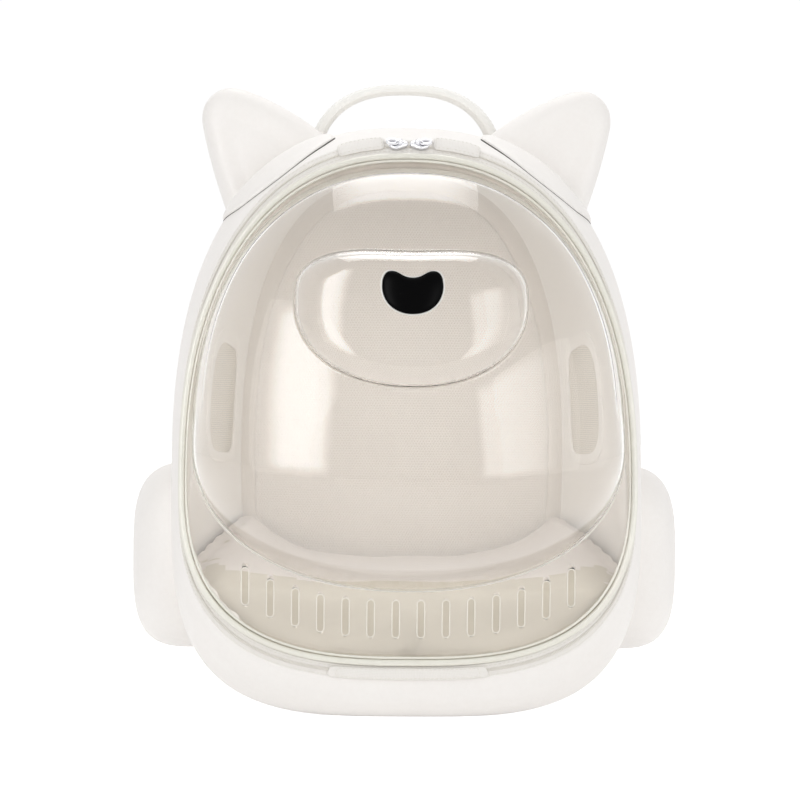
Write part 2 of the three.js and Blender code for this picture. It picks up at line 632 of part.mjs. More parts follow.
// Arched handle on the top, thinner in the middle of its span
function handle(seat) {
  const rise = HANDLE.topZ - HANDLE.thin / 2 - HANDLE.baseZ;
  const archPoint = (angle) => {
    const reach = superRadius(Math.cos(angle), Math.sin(angle), HANDLE.halfSpan, rise, HANDLE.square);
    return new THREE.Vector3(reach * Math.cos(angle), HANDLE.y, HANDLE.baseZ + reach * Math.sin(angle));
  };
  const loops = spread(0, Math.PI, HANDLE_STEPS + 1).map((angle) => {
    const ahead = archPoint(angle + 0.01).sub(archPoint(angle - 0.01)).normalize();
    const outwards = new THREE.Vector3(ahead.z, 0, -ahead.x);
    const halfThick = THREE.MathUtils.lerp(HANDLE.thin, HANDLE.thick, Math.cos(angle) ** 2) / 2;
    return ringAngles(STRAP_SIDES).map((turn) => {
      const reach = superRadius(Math.cos(turn), Math.sin(turn), HANDLE.halfDepth, halfThick, HANDLE.edge);
      const point = archPoint(angle).addScaledVector(outwards, reach * Math.sin(turn));
      point.y += reach * Math.cos(turn);
      return point;
    });
  });
  return cut(loft(loops, archPoint(0), archPoint(Math.PI)), seat);
}

function backPanel() {
  const ring = (reach, y) => ringAngles(AROUND).map((angle) => {
    const flat = outlineAt({ ...LIP, centreZ: WIDEST_Z }, angle, -PANEL.inset);
    return new THREE.Vector3(flat.x * reach, y, WIDEST_Z + (flat.y - WIDEST_Z) * reach);
  });
  const pole = (y) => new THREE.Vector3(0, y, WIDEST_Z);
  return loft([ring(1, PANEL.innerY), ring(1, PANEL.outerY)], pole(PANEL.innerY), pole(PANEL.outerY));
}

// Cushion that fills the foot of the cabin up to its sloping top
function floorMat() {
  const lift = -SHELL_WALL - FIT - LINING_WALL - FIT;
  const frontY = rimY(CUSHION.frontZ);
  const side = new THREE.Shape();
  side.moveTo(frontY, 0);
  side.lineTo(CUSHION.backY, 0);
  side.lineTo(CUSHION.backY, CUSHION.backZ);
  side.lineTo(frontY, CUSHION.frontZ);
  const width = 4 * LIP.halfWidth;
  const wedge = new THREE.ExtrudeGeometry(side, { depth: width, bevelEnabled: false });
  wedge.applyMatrix4(new THREE.Matrix4().set(0, 0, 1, -width / 2, 1, 0, 0, 0, 0, 1, 0, 0, 0, 0, 0, 1));
  return common(bodyForm(lift), wedge);
}

// Assembly

const carrier = new THREE.Group();

function addPiece(name, geometry, finish) {
  const mesh = new THREE.Mesh(geometry, new THREE.MeshStandardMaterial(finish));
  mesh.name = name;
  carrier.add(mesh);
}

const SIDES = [{ name: 'left', sign: -1 }, { name: 'right', sign: 1 }];
const seat = bodyForm(FIT);
const meshHoles = SIDES.map(({ sign }) => meshPanel(sign, MESH_HOLE.scale, MESH_HOLE.lifts));
const liningLifts = [-SHELL_WALL - FIT, -SHELL_WALL - FIT - LINING_WALL];

addPiece('shell', cut(hoop(SHELL_STEPS, 0, -SHELL_WALL), ...meshHoles), CREAM);
addPiece('lining', cut(hoop(SHELL_STEPS, ...liningLifts), ...meshHoles), BEIGE);
addPiece('back_panel', backPanel(), BEIGE);
addPiece('floor_mat', floorMat(), BEIGE);
addPiece('window_dome', windowDome(), CLEAR);
addPiece('nose', nose(), BLACK);
addPiece('window_piping', windowPiping(), TRIM);
addPiece('zip_tape', zipTape(), TRIM);
addPiece('hinge_tab', hingeTab(), CREAM);
addPiece('handle', handle(seat), CREAM);
for (const { name, sign } of SIDES) {
  addPiece(`ear_${name}`, ear(sign, seat), CREAM);
  addPiece(`haunch_${name}`, haunch(sign, seat), CREAM);
  addPiece(`side_mesh_${name}`, meshPanel(sign, 1, MESH.lifts), CREAM);
  addPiece(`zip_cover_${name}`, zipCover(sign), CREAM);
  addPiece(`zip_slider_${name}`, zipSlider(sign), METAL);
  addPiece(`zip_pull_${name}`, zipPull(sign), METAL);
  addPiece(`strap_${name}`, strap(sign), CREAM);
  addPiece(`webbing_${name}`, webbing(sign), CREAM);
}

export default carrier;
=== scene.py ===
import math

import bpy
import numpy as np
from mathutils import Matrix


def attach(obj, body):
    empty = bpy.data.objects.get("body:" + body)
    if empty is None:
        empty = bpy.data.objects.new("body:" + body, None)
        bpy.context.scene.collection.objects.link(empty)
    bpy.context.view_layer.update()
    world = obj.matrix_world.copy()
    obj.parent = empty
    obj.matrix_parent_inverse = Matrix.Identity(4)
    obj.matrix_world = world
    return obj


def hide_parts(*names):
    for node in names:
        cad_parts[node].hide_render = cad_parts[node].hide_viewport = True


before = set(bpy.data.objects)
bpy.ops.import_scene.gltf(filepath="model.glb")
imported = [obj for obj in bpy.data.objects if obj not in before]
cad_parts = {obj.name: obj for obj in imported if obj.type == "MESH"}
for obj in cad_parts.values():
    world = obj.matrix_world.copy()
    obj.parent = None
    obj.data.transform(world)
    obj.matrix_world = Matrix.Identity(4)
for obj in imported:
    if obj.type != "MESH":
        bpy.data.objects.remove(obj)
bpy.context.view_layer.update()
pi = math.pi
sides = {"left": -1, "right": 1}
toFront, toBack, toRight, toTop = np.array([[0.0, -1, 0], [0, 1, 0], [1, 0, 0], [0, 0, 1]])
print("frame loaded:", len(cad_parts), "nodes")


# small helpers, lengths in mm until a mesh is made

def srgb(red, green, blue):
    # screen colour from 0 to 255, turned into linear light
    c = np.array([red, green, blue]) / 255
    return (*np.where(c > 0.04045, ((c + 0.055) / 1.055) ** 2.4, c / 12.92).tolist(), 1.0)


def unit(v):
    return v / np.maximum(np.linalg.norm(v, axis=-1, keepdims=True), 1e-9)


def ease(low, high, value):
    # smooth step: 0 at low, 1 at high
    t = np.clip((value - low) / (high - low), 0, 1)
    return t * t * (3 - 2 * t)


def mix(a, b, share):
    return a + (b - a) * share


def turns(count):
    return np.arange(count) / count * 2 * pi


def xyz(x, y, z):
    return np.stack(np.broadcast_arrays(x, y, z), -1)


def superReach(across, up, halfWidth, rise, square):
    # distance from the middle to a superellipse, in the direction (across, up)
    return (np.abs(across / halfWidth) ** square + np.abs(up / rise) ** square) ** (-1 / square)


def squarish(angle, halfWidth, rise, square):
    # across and up on a superellipse, in the direction of an angle
    reach = superReach(np.cos(angle), np.sin(angle), halfWidth, rise, square)
    return reach * np.cos(angle), reach * np.sin(angle)


def oval(count, halfWidth, rise):
    # across and up on an ellipse
    return halfWidth * np.cos(turns(count)), rise * np.sin(turns(count))


def curveThrough(values, step):
    # cubic through the values at whole steps; a slope is half the rise over both neighbours,
    # straight at the ends
    values, step = np.asarray(values, float), np.asarray(step, float)
    last = len(values) - 1
    row = np.clip(np.floor(step).astype(int), 0, last - 1)
    t = step - row
    b, c = values[row], values[row + 1]
    start = np.where(row > 0, (c - values[np.maximum(row - 1, 0)]) / 2, c - b)
    end = np.where(row + 1 < last, (values[np.minimum(row + 2, last)] - b) / 2, c - b)
    return (((2 * (b - c) + start + end) * t + 3 * (c - b) - 2 * start - end) * t + start) * t + b


def gridCells(rows, columns):
    return (k.ravel() for k in np.meshgrid(np.arange(rows), np.arange(columns), indexing="ij"))


def newObject(name, data):
    made = bpy.data.objects.new(name, data)
    bpy.context.scene.collection.objects.link(made)
    return made


def addPiece(name, points, faces, material, slot=None, node=None, uv=None, sharp=42, inside=None, parts=None):
    # mesh from points and lists of quads or triangles, turned so that the faces look away from a point inside
    points = np.asarray(points, float).reshape(-1, 3)
    middle = points.mean(0) if inside is None else np.asarray(inside, float)
    corners = [points[f] for f in faces]
    normals = [np.cross(c[:, 1] - c[:, 0], c[:, -1] - c[:, 0]) for c in corners]
    away = sum(np.sum((c.mean(1) - middle) * n) for c, n in zip(corners, normals))
    if away < 0:
        faces = [f[:, ::-1] for f in faces]
        uv = uv and [u[:, ::-1] for u in uv]
    mesh = bpy.data.meshes.new(name)
    mesh.from_pydata((points / 1000).tolist(), [], [row for f in faces for row in f.tolist()])
    if uv:
        flat = np.concatenate([u.reshape(-1) for u in uv]) / 1000
        mesh.uv_layers.new(name="cloth").data.foreach_set("uv", flat)
    mesh.shade_smooth()
    mesh.set_sharp_from_angle(angle=math.radians(sharp))
    materials = material if isinstance(material, list) else [material]
    for each in materials:
        mesh.materials.append(each)
    if parts is not None:
        mesh.polygons.foreach_set("material_index", parts)
    piece = newObject(name, mesh)
    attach(piece, "root")
    if node:
        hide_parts(node)
    return piece


def gridPiece(name, grid, material, closeRows=False, closeColumns=False,
              poles=(None, None), keep=None, **more):
    # quads over a grid of points, joined end to end where a direction closes;
    # a pole closes the first or last row.
    # the uv map "cloth" holds the mean lengths along and across the grid
    rows, columns = grid.shape[:2]
    r, c = gridCells(rows if closeRows else rows - 1, columns if closeColumns else columns - 1)
    cornerRow, cornerColumn = np.stack([r, r, r + 1, r + 1], 1), np.stack([c, c + 1, c + 1, c], 1)
    quads = cornerRow % rows * columns + cornerColumn % columns
    along, down = (np.linalg.norm(np.roll(grid, -1, k) - grid, axis=2).mean(1 - k) for k in (1, 0))
    u, v = np.append(0, np.cumsum(along)), np.append(0, np.cumsum(down))
    uvs = np.stack([u[cornerColumn], v[cornerRow]], -1)
    if keep is not None:
        quads, uvs = quads[keep[r, c]], uvs[keep[r, c]]
    points, faces, uv = grid.reshape(-1, 3), [quads], [uvs]
    c = np.arange(columns if closeColumns else columns - 1)
    for end, pole in ((0, poles[0]), (rows - 1, poles[1])):
        if pole is not None:
            here, ahead = end * columns + c, end * columns + (c + 1) % columns
            first, second = (ahead, here) if end == 0 else (here, ahead)
            faces.append(np.stack([first, second, np.full_like(c, len(points))], 1))
            uv.append(np.stack([np.stack([u[c], v[end] + 0 * u[c]], -1)] * 3, 1))
            points = np.vstack([points, pole])
    return addPiece(name, points, faces, material, uv=uv, **more)


def ringPiece(name, grid, material, **more):
    # a tube that runs back into itself
    return gridPiece(name, grid, material, closeRows=True, closeColumns=True, **more)


def tubePiece(name, grid, material, **more):
    # a tube closed at both ends, in the middle of its end rows unless poles say where
    more = {"poles": (grid[0].mean(0), grid[-1].mean(0)), **more}
    return gridPiece(name, grid, material, closeColumns=True, **more)


def sweep(path, across, up, profile):
    # profile carried along a path: path point + across * profile's width + up * profile's height
    across, up = (np.atleast_2d(way)[:, None] for way in (across, up))
    width, height = (np.atleast_2d(way)[..., None] for way in profile)
    return path[:, None] + across * width + up * height


def evenly(path, up, pitch, closed=False):
    # places at equal lengths along a path, with the direction along it and the one off the surface
    up = np.broadcast_to(up, path.shape)
    if closed:
        path, up = np.vstack([path, path[:1]]), np.vstack([up, up[:1]])
    length = np.append(0, np.cumsum(np.linalg.norm(np.diff(path, axis=0), axis=1)))
    count = max(int(round(length[-1] / pitch)), 1)
    at = (np.arange(count) + 0.5) * length[-1] / count

    def pick(table, where):
        return np.stack([np.interp(where, length, table[:, k]) for k in range(3)], 1)

    along = unit(pick(path, np.minimum(at + 0.5, length[-1])) - pick(path, np.maximum(at - 0.5, 0)))
    off = pick(up, at)
    return pick(path, at), along, unit(off - along * np.sum(off * along, 1, keepdims=True))


def stitches(name, places, length, width, height, lift=0.2):
    # rounded beads of thread: rings of points, radius (1 - |t|^3)^(1/2), with a point at each end
    centres, along, up = places
    rings, around = 5, 6
    t = np.linspace(-1, 1, rings + 2)[1:-1, None]
    radius = np.sqrt(1 - np.abs(t) ** 3)
    a = np.append((t * length / 2 + np.zeros(around)).ravel(), [-length / 2, length / 2])
    b, h = (np.append((radius * way).ravel(), [0, 0]) for way in oval(around, width / 2, height / 2))
    ways = zip((along, np.cross(up, along), up), (a, b, h + lift * height))
    points = centres[:, None] + sum(way[:, None] * reach[:, None] for way, reach in ways)
    r, c = gridCells(rings - 1, around)
    here, after = r * around, (c + 1) % around
    quads = np.stack([here + c, here + after, here + around + after, here + around + c], 1)
    c, last, ends = np.arange(around), (rings - 1) * around, rings * around
    after = (c + 1) % around
    caps = np.concatenate([np.stack([after, c, 0 * c + ends], 1),
                           np.stack([last + c, last + after, 0 * c + ends + 1], 1)])
    step = (np.arange(len(centres)) * (ends + 2))[:, None, None]
    faces = [(f + step).reshape(-1, f.shape[1]) for f in (quads, caps)]
    addPiece(name, points, faces, threadCream, sharp=80)


def sew(name, path, off, stitch, closed=False):
    # a line of sewing; a stitch is given by its pitch, length, width and height
    pitch, *size = stitch
    stitches(name, evenly(path, off, pitch, closed), *size)


def softWall(piece, thickness, bevel=0):
    wall = piece.modifiers.new("wall", "SOLIDIFY")
    wall.thickness, wall.offset = thickness / 1000, -1
    if bevel:
        edge = piece.modifiers.new("edge", "BEVEL")
        edge.width, edge.segments, edge.limit_method = bevel / 1000, 2, "ANGLE"
        edge.angle_limit = math.radians(50)
    return piece


def bake(piece):
    # the mesh that the modifiers give becomes the piece's own; its points are returned
    made = bpy.data.meshes.new_from_object(piece.evaluated_get(bpy.context.evaluated_depsgraph_get()))
    piece.modifiers.clear()
    piece.data = made
    points = np.empty(len(made.vertices) * 3)
    made.vertices.foreach_get("co", points)
    return points.reshape(-1, 3)


def swell(piece, voxel, pressure, frames, cap):
    # cloth simulation: an even remesh is blown up from inside, and no point moves further than the cap
    even = piece.modifiers.new("even", "REMESH")
    even.mode, even.voxel_size = "VOXEL", voxel / 1000
    before = bake(piece)
    cloth = piece.modifiers.new("cloth", "CLOTH")
    cloth.settings.use_pressure, cloth.settings.uniform_pressure_force = True, pressure
    cloth.settings.effector_weights.gravity = 0
    cloth.point_cache.frame_start, cloth.point_cache.frame_end = 1, frames
    for k in range(1, frames + 1):
        bpy.context.scene.frame_set(k)
    move = bake(piece) - before
    far = np.linalg.norm(move, axis=1, keepdims=True)
    move = move * np.minimum(1, cap / 1000 / np.maximum(far, 1e-9))
    piece.data.vertices.foreach_set("co", (before + move).ravel())
    piece.data.shade_smooth()
    bpy.context.scene.frame_set(1)
    smooth = piece.modifiers.new("smooth", "SUBSURF")
    smooth.levels = smooth.render_levels = 1
    print(f"{piece.name} swelled by {1000 * far.mean():.1f} mm, {1000 * far.max():.1f} at most")


# shader groups and materials

def nodeGroup(name, inputs, outputs):
    # group with a vector and some numbers going in, and numbers coming out
    group = bpy.data.node_groups.new(name, "ShaderNodeTree")
    group.interface.new_socket(name="Vector", in_out="INPUT", socket_type="NodeSocketVector")
    for label, value in inputs.items():
        socket = group.interface.new_socket(name=label, in_out="INPUT", socket_type="NodeSocketFloat")
        socket.default_value = value
    for label in outputs:
        group.interface.new_socket(name=label, in_out="OUTPUT", socket_type="NodeSocketFloat")
    return group, group.nodes.new("NodeGroupInput").outputs, group.nodes.new("NodeGroupOutput").inputs


def put(tree, socket, value):
    if isinstance(value, bpy.types.NodeSocket):
        tree.links.new(value, socket)
    else:
        socket.default_value = value


def addNode(tree, kind, inputs, **options):
    # new node with its options and inputs; its outputs are returned
    node = tree.nodes.new("ShaderNode" + kind)
    for label, value in options.items():
        setattr(node, label, value)
    for label, value in inputs.items():
        put(tree, node.inputs[label], value)
    return node.outputs


def calc(tree, operation, *values, clamp=False):
    return addNode(tree, "Math", dict(enumerate(values)), operation=operation, use_clamp=clamp)[0]


def noise(tree, vector, scale, detail, roughness):
    inputs = {"Vector": vector, "Scale": scale, "Detail": detail, "Roughness": roughness}
    return addNode(tree, "TexNoise", inputs)["Fac"]


def bump(tree, height, strength, distance):
    return addNode(tree, "Bump", {"Strength": strength, "Distance": distance, "Height": height})["Normal"]


def useGroup(tree, group, **values):
    return addNode(tree, "Group", values, node_tree=group)


def split(tree, vector):
    return addNode(tree, "SeparateXYZ", {0: vector})


def objectCoords(tree):
    return addNode(tree, "TexCoord", {})["Object"]


def clothCoords(tree):
    return addNode(tree, "UVMap", {}, uv_map="cloth")["UV"]


def flatCoords(tree):
    # the front view of the object: x and z as the two directions of a pattern
    ways = split(tree, objectCoords(tree))
    return addNode(tree, "CombineXYZ", {"X": ways["X"], "Y": ways["Z"]})[0]


def mouldedGrain():
    # fine pebbles: small noise over rounded cells, with a slow cloud for tone
    group, given, made = nodeGroup("mouldedGrain", {"Scale": 900.0}, ("Height", "Tone"))
    vector, scale = given["Vector"], given["Scale"]
    inputs = {"Vector": vector, "Scale": scale}
    pebbles = addNode(group, "TexVoronoi", inputs, feature="SMOOTH_F1")["Distance"]
    sorts = ((2.2, 2.0, 0.6), (0.03, 3.0, 0.6), (0.45, 1.0, 0.5))  # share of the scale, detail, roughness
    fine, cloud, speck = (noise(group, vector, calc(group, "MULTIPLY", scale, share), detail, roughness)
                          for share, detail, roughness in sorts)
    put(group, made["Height"], calc(group, "MULTIPLY_ADD", pebbles, -0.7, fine))
    put(group, made["Tone"], calc(group, "MULTIPLY_ADD", speck, 0.45, calc(group, "MULTIPLY", cloud, 0.55)))
    return group


def clothWeave():
    # plain weave: the thread on top changes with the sign of sin u * sin v;
    # its height is |sin| across the thread
    group, given, made = nodeGroup("clothWeave", {"Pitch": 0.001}, ("Height", "Tone"))
    threads = [calc(group, "DIVIDE", way, given["Pitch"]) for way in split(group, given["Vector"])[:2]]
    wave = [calc(group, "SINE", calc(group, "MULTIPLY", each, pi)) for each in threads]
    over = calc(group, "MULTIPLY_ADD", calc(group, "MULTIPLY", *wave), 2.0, 0.5, clamp=True)
    first, second = (calc(group, "ABSOLUTE", each) for each in wave)
    under = calc(group, "MULTIPLY", second, calc(group, "SUBTRACT", 1.0, over))
    height = calc(group, "MULTIPLY_ADD", first, over, under)
    slub = noise(group, given["Vector"], 320.0, 2.0, 0.6)
    put(group, made["Height"], height)
    # painted shade: the tone follows the thread height, darker down between the threads, mixed with slub
    # noise
    put(group, made["Tone"], calc(group, "MULTIPLY_ADD", height, 0.5, calc(group, "MULTIPLY", slub, 0.5)))
    return group


def dottedMesh():
    # dots on a staggered lattice: the nearer of two oblong lattices, half a cell apart
    group, given, made = nodeGroup("dottedMesh", {"Pitch": 0.0017, "Size": 0.3}, ("Dot", "Height"))
    ways = split(group, given["Vector"])
    found = []
    for offset in (0.0, 0.5):
        parts = []
        for k, stretch in ((0, 1.0), (1, 1.732)):
            cell = calc(group, "DIVIDE", ways[k], calc(group, "MULTIPLY", given["Pitch"], stretch))
            share = calc(group, "FRACT", calc(group, "ADD", cell, 100.0 + offset))
            away = calc(group, "MULTIPLY", calc(group, "SUBTRACT", share, 0.5), stretch)
            parts.append(calc(group, "POWER", calc(group, "ABSOLUTE", away), 2.0))
        found.append(calc(group, "SQRT", calc(group, "ADD", *parts)))
    inside = calc(group, "SUBTRACT", given["Size"], calc(group, "MINIMUM", *found))
    dot = calc(group, "MULTIPLY_ADD", inside, 12.0, 0.5, clamp=True)
    put(group, made["Dot"], dot)
    put(group, made["Height"], calc(group, "SUBTRACT", 1.0, dot))
    return group


grain, weave, dots = mouldedGrain(), clothWeave(), dottedMesh()


def newMaterial(name, color, roughness, values):
    # its inputs are those of the Principled shader
    material = bpy.data.materials.new(name)
    material.use_nodes = True
    inputs = material.node_tree.nodes["Principled BSDF"].inputs
    for label, value in {"Base Color": color, "Roughness": roughness, **values}.items():
        inputs[label].default_value = value
    return material, material.node_tree, inputs


def dress(tree, inputs, share, first, second, rough, relief):
    # colour between two by a share, roughness as value * gain + base, bump by height, strength and distance
    blend = {"Factor": share, "A": first, "B": second}
    put(tree, inputs["Base Color"], addNode(tree, "Mix", blend, data_type="RGBA")["Result"])
    put(tree, inputs["Roughness"], calc(tree, "MULTIPLY_ADD", *rough))
    put(tree, inputs["Normal"], bump(tree, *relief))


def mouldedFinish(name, light, shade, scale, strength):
    feel = {"Specular IOR Level": 0.4, "Sheen Weight": 0.12, "Sheen Roughness": 0.5}
    material, tree, inputs = newMaterial(name, light, 0.55, feel)
    made = useGroup(tree, grain, Vector=objectCoords(tree), Scale=scale)
    height = made["Height"]
    dress(tree, inputs, made["Tone"], light, shade, (height, 0.18, 0.5), (height, strength, 0.0004))
    return material


def clothFinish(name, light, shade, pitch, strength, coords=clothCoords):
    feel = {"Specular IOR Level": 0.25, "Sheen Weight": 0.25, "Sheen Roughness": 0.4}
    material, tree, inputs = newMaterial(name, light, 0.85, feel)
    made = useGroup(tree, weave, Vector=coords(tree), Pitch=pitch)
    height = made["Height"]
    dress(tree, inputs, made["Tone"], shade, light, (height, -0.15, 0.9), (height, strength, 0.0003))
    return material


def dottedFinish(name, light, dot, pitch, size, coords, seeThrough=False):
    material, tree, inputs = newMaterial(name, light, 0.9, {"Specular IOR Level": 0.2, "Sheen Weight": 0.2})
    made = useGroup(tree, dots, Vector=coords(tree), Pitch=pitch, Size=size)
    height = made["Height"]
    dress(tree, inputs, made["Dot"], light, dot, (height, -0.1, 0.95), (height, 0.6, 0.0004))
    if seeThrough:
        put(tree, inputs["Alpha"], calc(tree, "MULTIPLY_ADD", made["Dot"], -0.85, 1.0))
    return material


def clearFinish(name, color, roughness):
    # clear plastic: bends light, but lets the lamps' light straight through to what is behind it
    material, tree, inputs = newMaterial(name, color, roughness, {"Transmission Weight": 1.0, "IOR": 1.58})
    made = useGroup(tree, grain, Vector=objectCoords(tree), Scale=60.0)
    put(tree, inputs["Normal"], bump(tree, made["Tone"], 0.04, 0.0006))
    shadow = addNode(tree, "LightPath", {})["Is Shadow Ray"]
    straight = addNode(tree, "BsdfTransparent", {"Color": (0.95, 0.95, 0.94, 1)})[0]
    bent = tree.nodes["Principled BSDF"].outputs[0]
    either = addNode(tree, "MixShader", {0: shadow, 1: bent, 2: straight})[0]
    put(tree, tree.nodes["Material Output"].inputs["Surface"], either)
    return material


def glossFinish(name, light, shade, roughness, metallic=0.0, coat=0.0, specular=0.5):
    feel = {"Metallic": metallic, "Coat Weight": coat, "Coat Roughness": 0.05, "Specular IOR Level": specular}
    material, tree, inputs = newMaterial(name, light, roughness, feel)
    made = useGroup(tree, grain, Vector=objectCoords(tree), Scale=500.0)
    tone = made["Tone"]
    dress(tree, inputs, tone, light, shade, (tone, 0.12, roughness - 0.06), (made["Height"], 0.05, 0.0002))
    return material


shellCream = mouldedFinish("shellCream", srgb(247, 244, 241), srgb(240, 236, 232), 700.0, 0.18)
liningBeige = clothFinish("liningBeige", srgb(241, 237, 231), srgb(233, 228, 221), 0.0009, 0.25)
liningBinding = clothFinish("liningBinding", srgb(243, 239, 233), srgb(236, 231, 224), 0.0009, 0.25)
panelDots = dottedFinish("panelDots", srgb(240, 234, 227), srgb(229, 221, 212), 0.0022, 0.24, flatCoords)
rollBeige = clothFinish("rollBeige", srgb(230, 223, 215), srgb(221, 214, 205), 0.0009, 0.25)
panelBack = clothFinish("panelBack", srgb(232, 228, 221), srgb(216, 211, 202), 0.0016, 0.6, flatCoords)
# painted shade: a darker copy of the cushion cloth, for the cushion's shaded front wall
cushionShadedSide = clothFinish("cushionShadedSide", srgb(213, 205, 191), srgb(204, 196, 181), 0.0008, 0.2, flatCoords)
cushionPale = clothFinish("cushionPale", srgb(229, 222, 216), srgb(221, 213, 206), 0.0008, 0.2, flatCoords)
creamCloth = clothFinish("creamCloth", srgb(246, 243, 239), srgb(233, 229, 223), 0.0011, 0.45)
webbingCloth = clothFinish("webbingCloth", srgb(240, 236, 230), srgb(221, 216, 207), 0.0022, 0.8)
handleCloth = clothFinish("handleCloth", srgb(253, 252, 248), srgb(248, 246, 241), 0.0009, 0.3)
whiteMesh = dottedFinish("whiteMesh", srgb(233, 226, 214), srgb(220, 212, 198), 0.0018, 0.26, clothCoords,
                         seeThrough=True)
threadCream = glossFinish("threadCream", srgb(243, 240, 234), srgb(226, 221, 212), 0.6)
windowClear = clearFinish("windowClear", srgb(253, 252, 251), 0.02)
windowEdge = glossFinish("windowEdge", srgb(250, 249, 245), srgb(238, 236, 230), 0.35, coat=0.5)
lipPale = glossFinish("lipPale", srgb(240, 235, 226), srgb(232, 227, 217), 0.4, coat=0.3)
pipingCream = glossFinish("pipingCream", srgb(238, 236, 227), srgb(227, 224, 212), 0.3, coat=0.4)
noseBlack = glossFinish("noseBlack", srgb(2, 2, 3), srgb(4, 4, 4), 0.25, specular=0.03)
zipSilver = glossFinish("zipSilver", srgb(226, 226, 228), srgb(204, 204, 208), 0.22, metallic=1.0)
gapShadow = clothFinish("gapShadow", srgb(70, 66, 62), srgb(44, 42, 40), 0.0008, 0.3)
print("materials made:", len(bpy.data.materials))


# body surface: a table of sections from the window rim (0) back to the lip of the back panel (8)
body = {
    "y": [-70, -62, -44, -20, 12, 72, 104, 115, 117],
    "lean": [0.16, 0.16, 0.14, 0.11, 0.08, 0.02, 0, 0, 0],
    "halfWidth": [158.5, 161.5, 165.5, 167.5, 162, 142, 129, 121, 113],
    "top": [394, 406, 412, 417, 418, 414, 403, 391, 381],
    "bottom": [39, 27, 11, 0, -3, -3, 8, 22, 32],
    "arch": [2.3, 2.35, 2.4, 2.5, 2.5, 2.5, 2.5, 2.5, 2.5],
    "heel": [2.8, 3, 3.3, 3.6, 3.6, 3.6, 3.4, 3.3, 3.2],
    "chin": [0, 6, 26, 36, 20, 0, 0, 0, 0],
}
widestZ, lastStep = 170.0, 8
cabinMiddle = (0, 20, 200)


def section(name, step):
    return curveThrough(body[name], step)


def riseAndSquare(step, above):
    # height of the upper or lower half of a section, and how square it is
    rise = np.where(above, section("top", step) - widestZ, widestZ - section("bottom", step))
    return rise, np.where(above, section("arch", step), section("heel", step))


def depthAt(step, z, up):
    # depth leans with height and bulges at the chin
    lean = section("lean", step) * (z - widestZ)
    return section("y", step) + lean - section("chin", step) * np.maximum(-up, 0) ** 2


def bodyPoint(step, angle):
    # superellipse round the widest height, clipped at the floor
    step, angle = np.broadcast_arrays(np.asarray(step, float), np.asarray(angle, float))
    across, up = np.cos(angle), np.sin(angle)
    reach = superReach(across, up, section("halfWidth", step), *riseAndSquare(step, up >= 0))
    z = np.maximum(widestZ + reach * up, 0)
    return np.stack([reach * across, depthAt(step, z, up), z], -1)


def bodyFrame(step, angle):
    # directions back and round on the surface, and off it
    back = bodyPoint(np.minimum(step + 0.02, lastStep), angle) - bodyPoint(np.maximum(step - 0.02, 0), angle)
    along = bodyPoint(step, angle + 0.02) - bodyPoint(step, angle - 0.02)
    return unit(back), unit(along), unit(np.cross(back, along))


def bodyAt(step, angle, lift=0.0, forward=0.0):
    # point of the surface, moved off it by lift and towards the window by forward
    values = (np.asarray(value, float) for value in (step, angle, lift, forward))
    step, angle, lift, forward = np.broadcast_arrays(*values)
    back, _, off = bodyFrame(step, angle)
    return bodyPoint(step, angle) + off * lift[..., None] - back * forward[..., None]


def sectionSide(step, z):
    # half width of a section at a height
    rise, square = riseAndSquare(step, z >= widestZ)
    share = np.clip(np.abs(z - widestZ) / rise, 0, 1)
    return section("halfWidth", step) * (1 - share ** square) ** (1 / square)


def halve(test, shape):
    # step at which a rising test turns true, found by halving
    low, high = np.zeros(shape), np.full(shape, float(lastStep))
    for _ in range(26):
        half = (low + high) / 2
        past = test(half)
        low, high = np.where(past, low, half), np.where(past, half, high)
    return low


def bodySide(y, z):
    # half width of the body at a depth and height
    y, z = np.broadcast_arrays(np.asarray(y, float), np.asarray(z, float))

    def depth(step):
        up = (z - widestZ) / np.maximum(np.hypot(sectionSide(step, z), z - widestZ), 1e-6)
        return depthAt(step, z, up)
    return sectionSide(halve(lambda step: depth(step) > y, y.shape), z)


def bodyTop(x, y):
    # height of the body's upper surface over a place in plan
    x, y = np.broadcast_arrays(np.asarray(x, float), np.asarray(y, float))

    def height(step):
        share = np.clip(np.abs(x) / section("halfWidth", step), 0, 1)
        arch = section("arch", step)
        return widestZ + (section("top", step) - widestZ) * (1 - share ** arch) ** (1 / arch)
    return height(halve(lambda step: depthAt(step, height(step), 0) > y, x.shape))


def outlineAt(shape, angle):
    # flat superellipse about a shape's centre, with halves of their own height and squareness
    above = np.sin(angle) >= 0
    rise = np.where(above, shape["top"] - shape["centreZ"], shape["centreZ"] - shape["bottom"])
    across, up = squarish(angle, shape["halfWidth"], rise, np.where(above, shape["arch"], shape["heel"]))
    return np.stack([across, shape["centreZ"] + up], -1)


# side mesh: a rounded window in each flank, given in steps and angle on the body
flankSet = {"step": 5.15, "angle": 19, "halfSteps": 0.62, "halfAngle": 16.5, "square": 4, "lift": -3.5,
            "sag": 0.5, "thick": 0.6, "outer": (0.1, 1.3, -0.7), "inner": (-4.6, -5.4, -4.0),
            "stitch": (3.4, 2.5, 0.7, 0.6)}
flankTurn, flankHalf = math.radians(flankSet["angle"]), math.radians(flankSet["halfAngle"])


def inFlank(step, angle):
    # true inside the rounded window: superellipse in steps and angle
    away = np.minimum(np.abs(angle - flankTurn), np.abs(angle - (pi - flankTurn)))
    along, square = (step - flankSet["step"]) / flankSet["halfSteps"], flankSet["square"]
    return np.abs(along) ** square + np.abs(away / flankHalf) ** square < 1


def flankAt(side, share, around):
    # step and angle at a share of the way from the window's middle to its edge
    across, up = squarish(around, 1, 1, flankSet["square"])
    middle = flankTurn if side > 0 else pi - flankTurn
    return flankSet["step"] + flankSet["halfSteps"] * share * across, middle + flankHalf * share * up


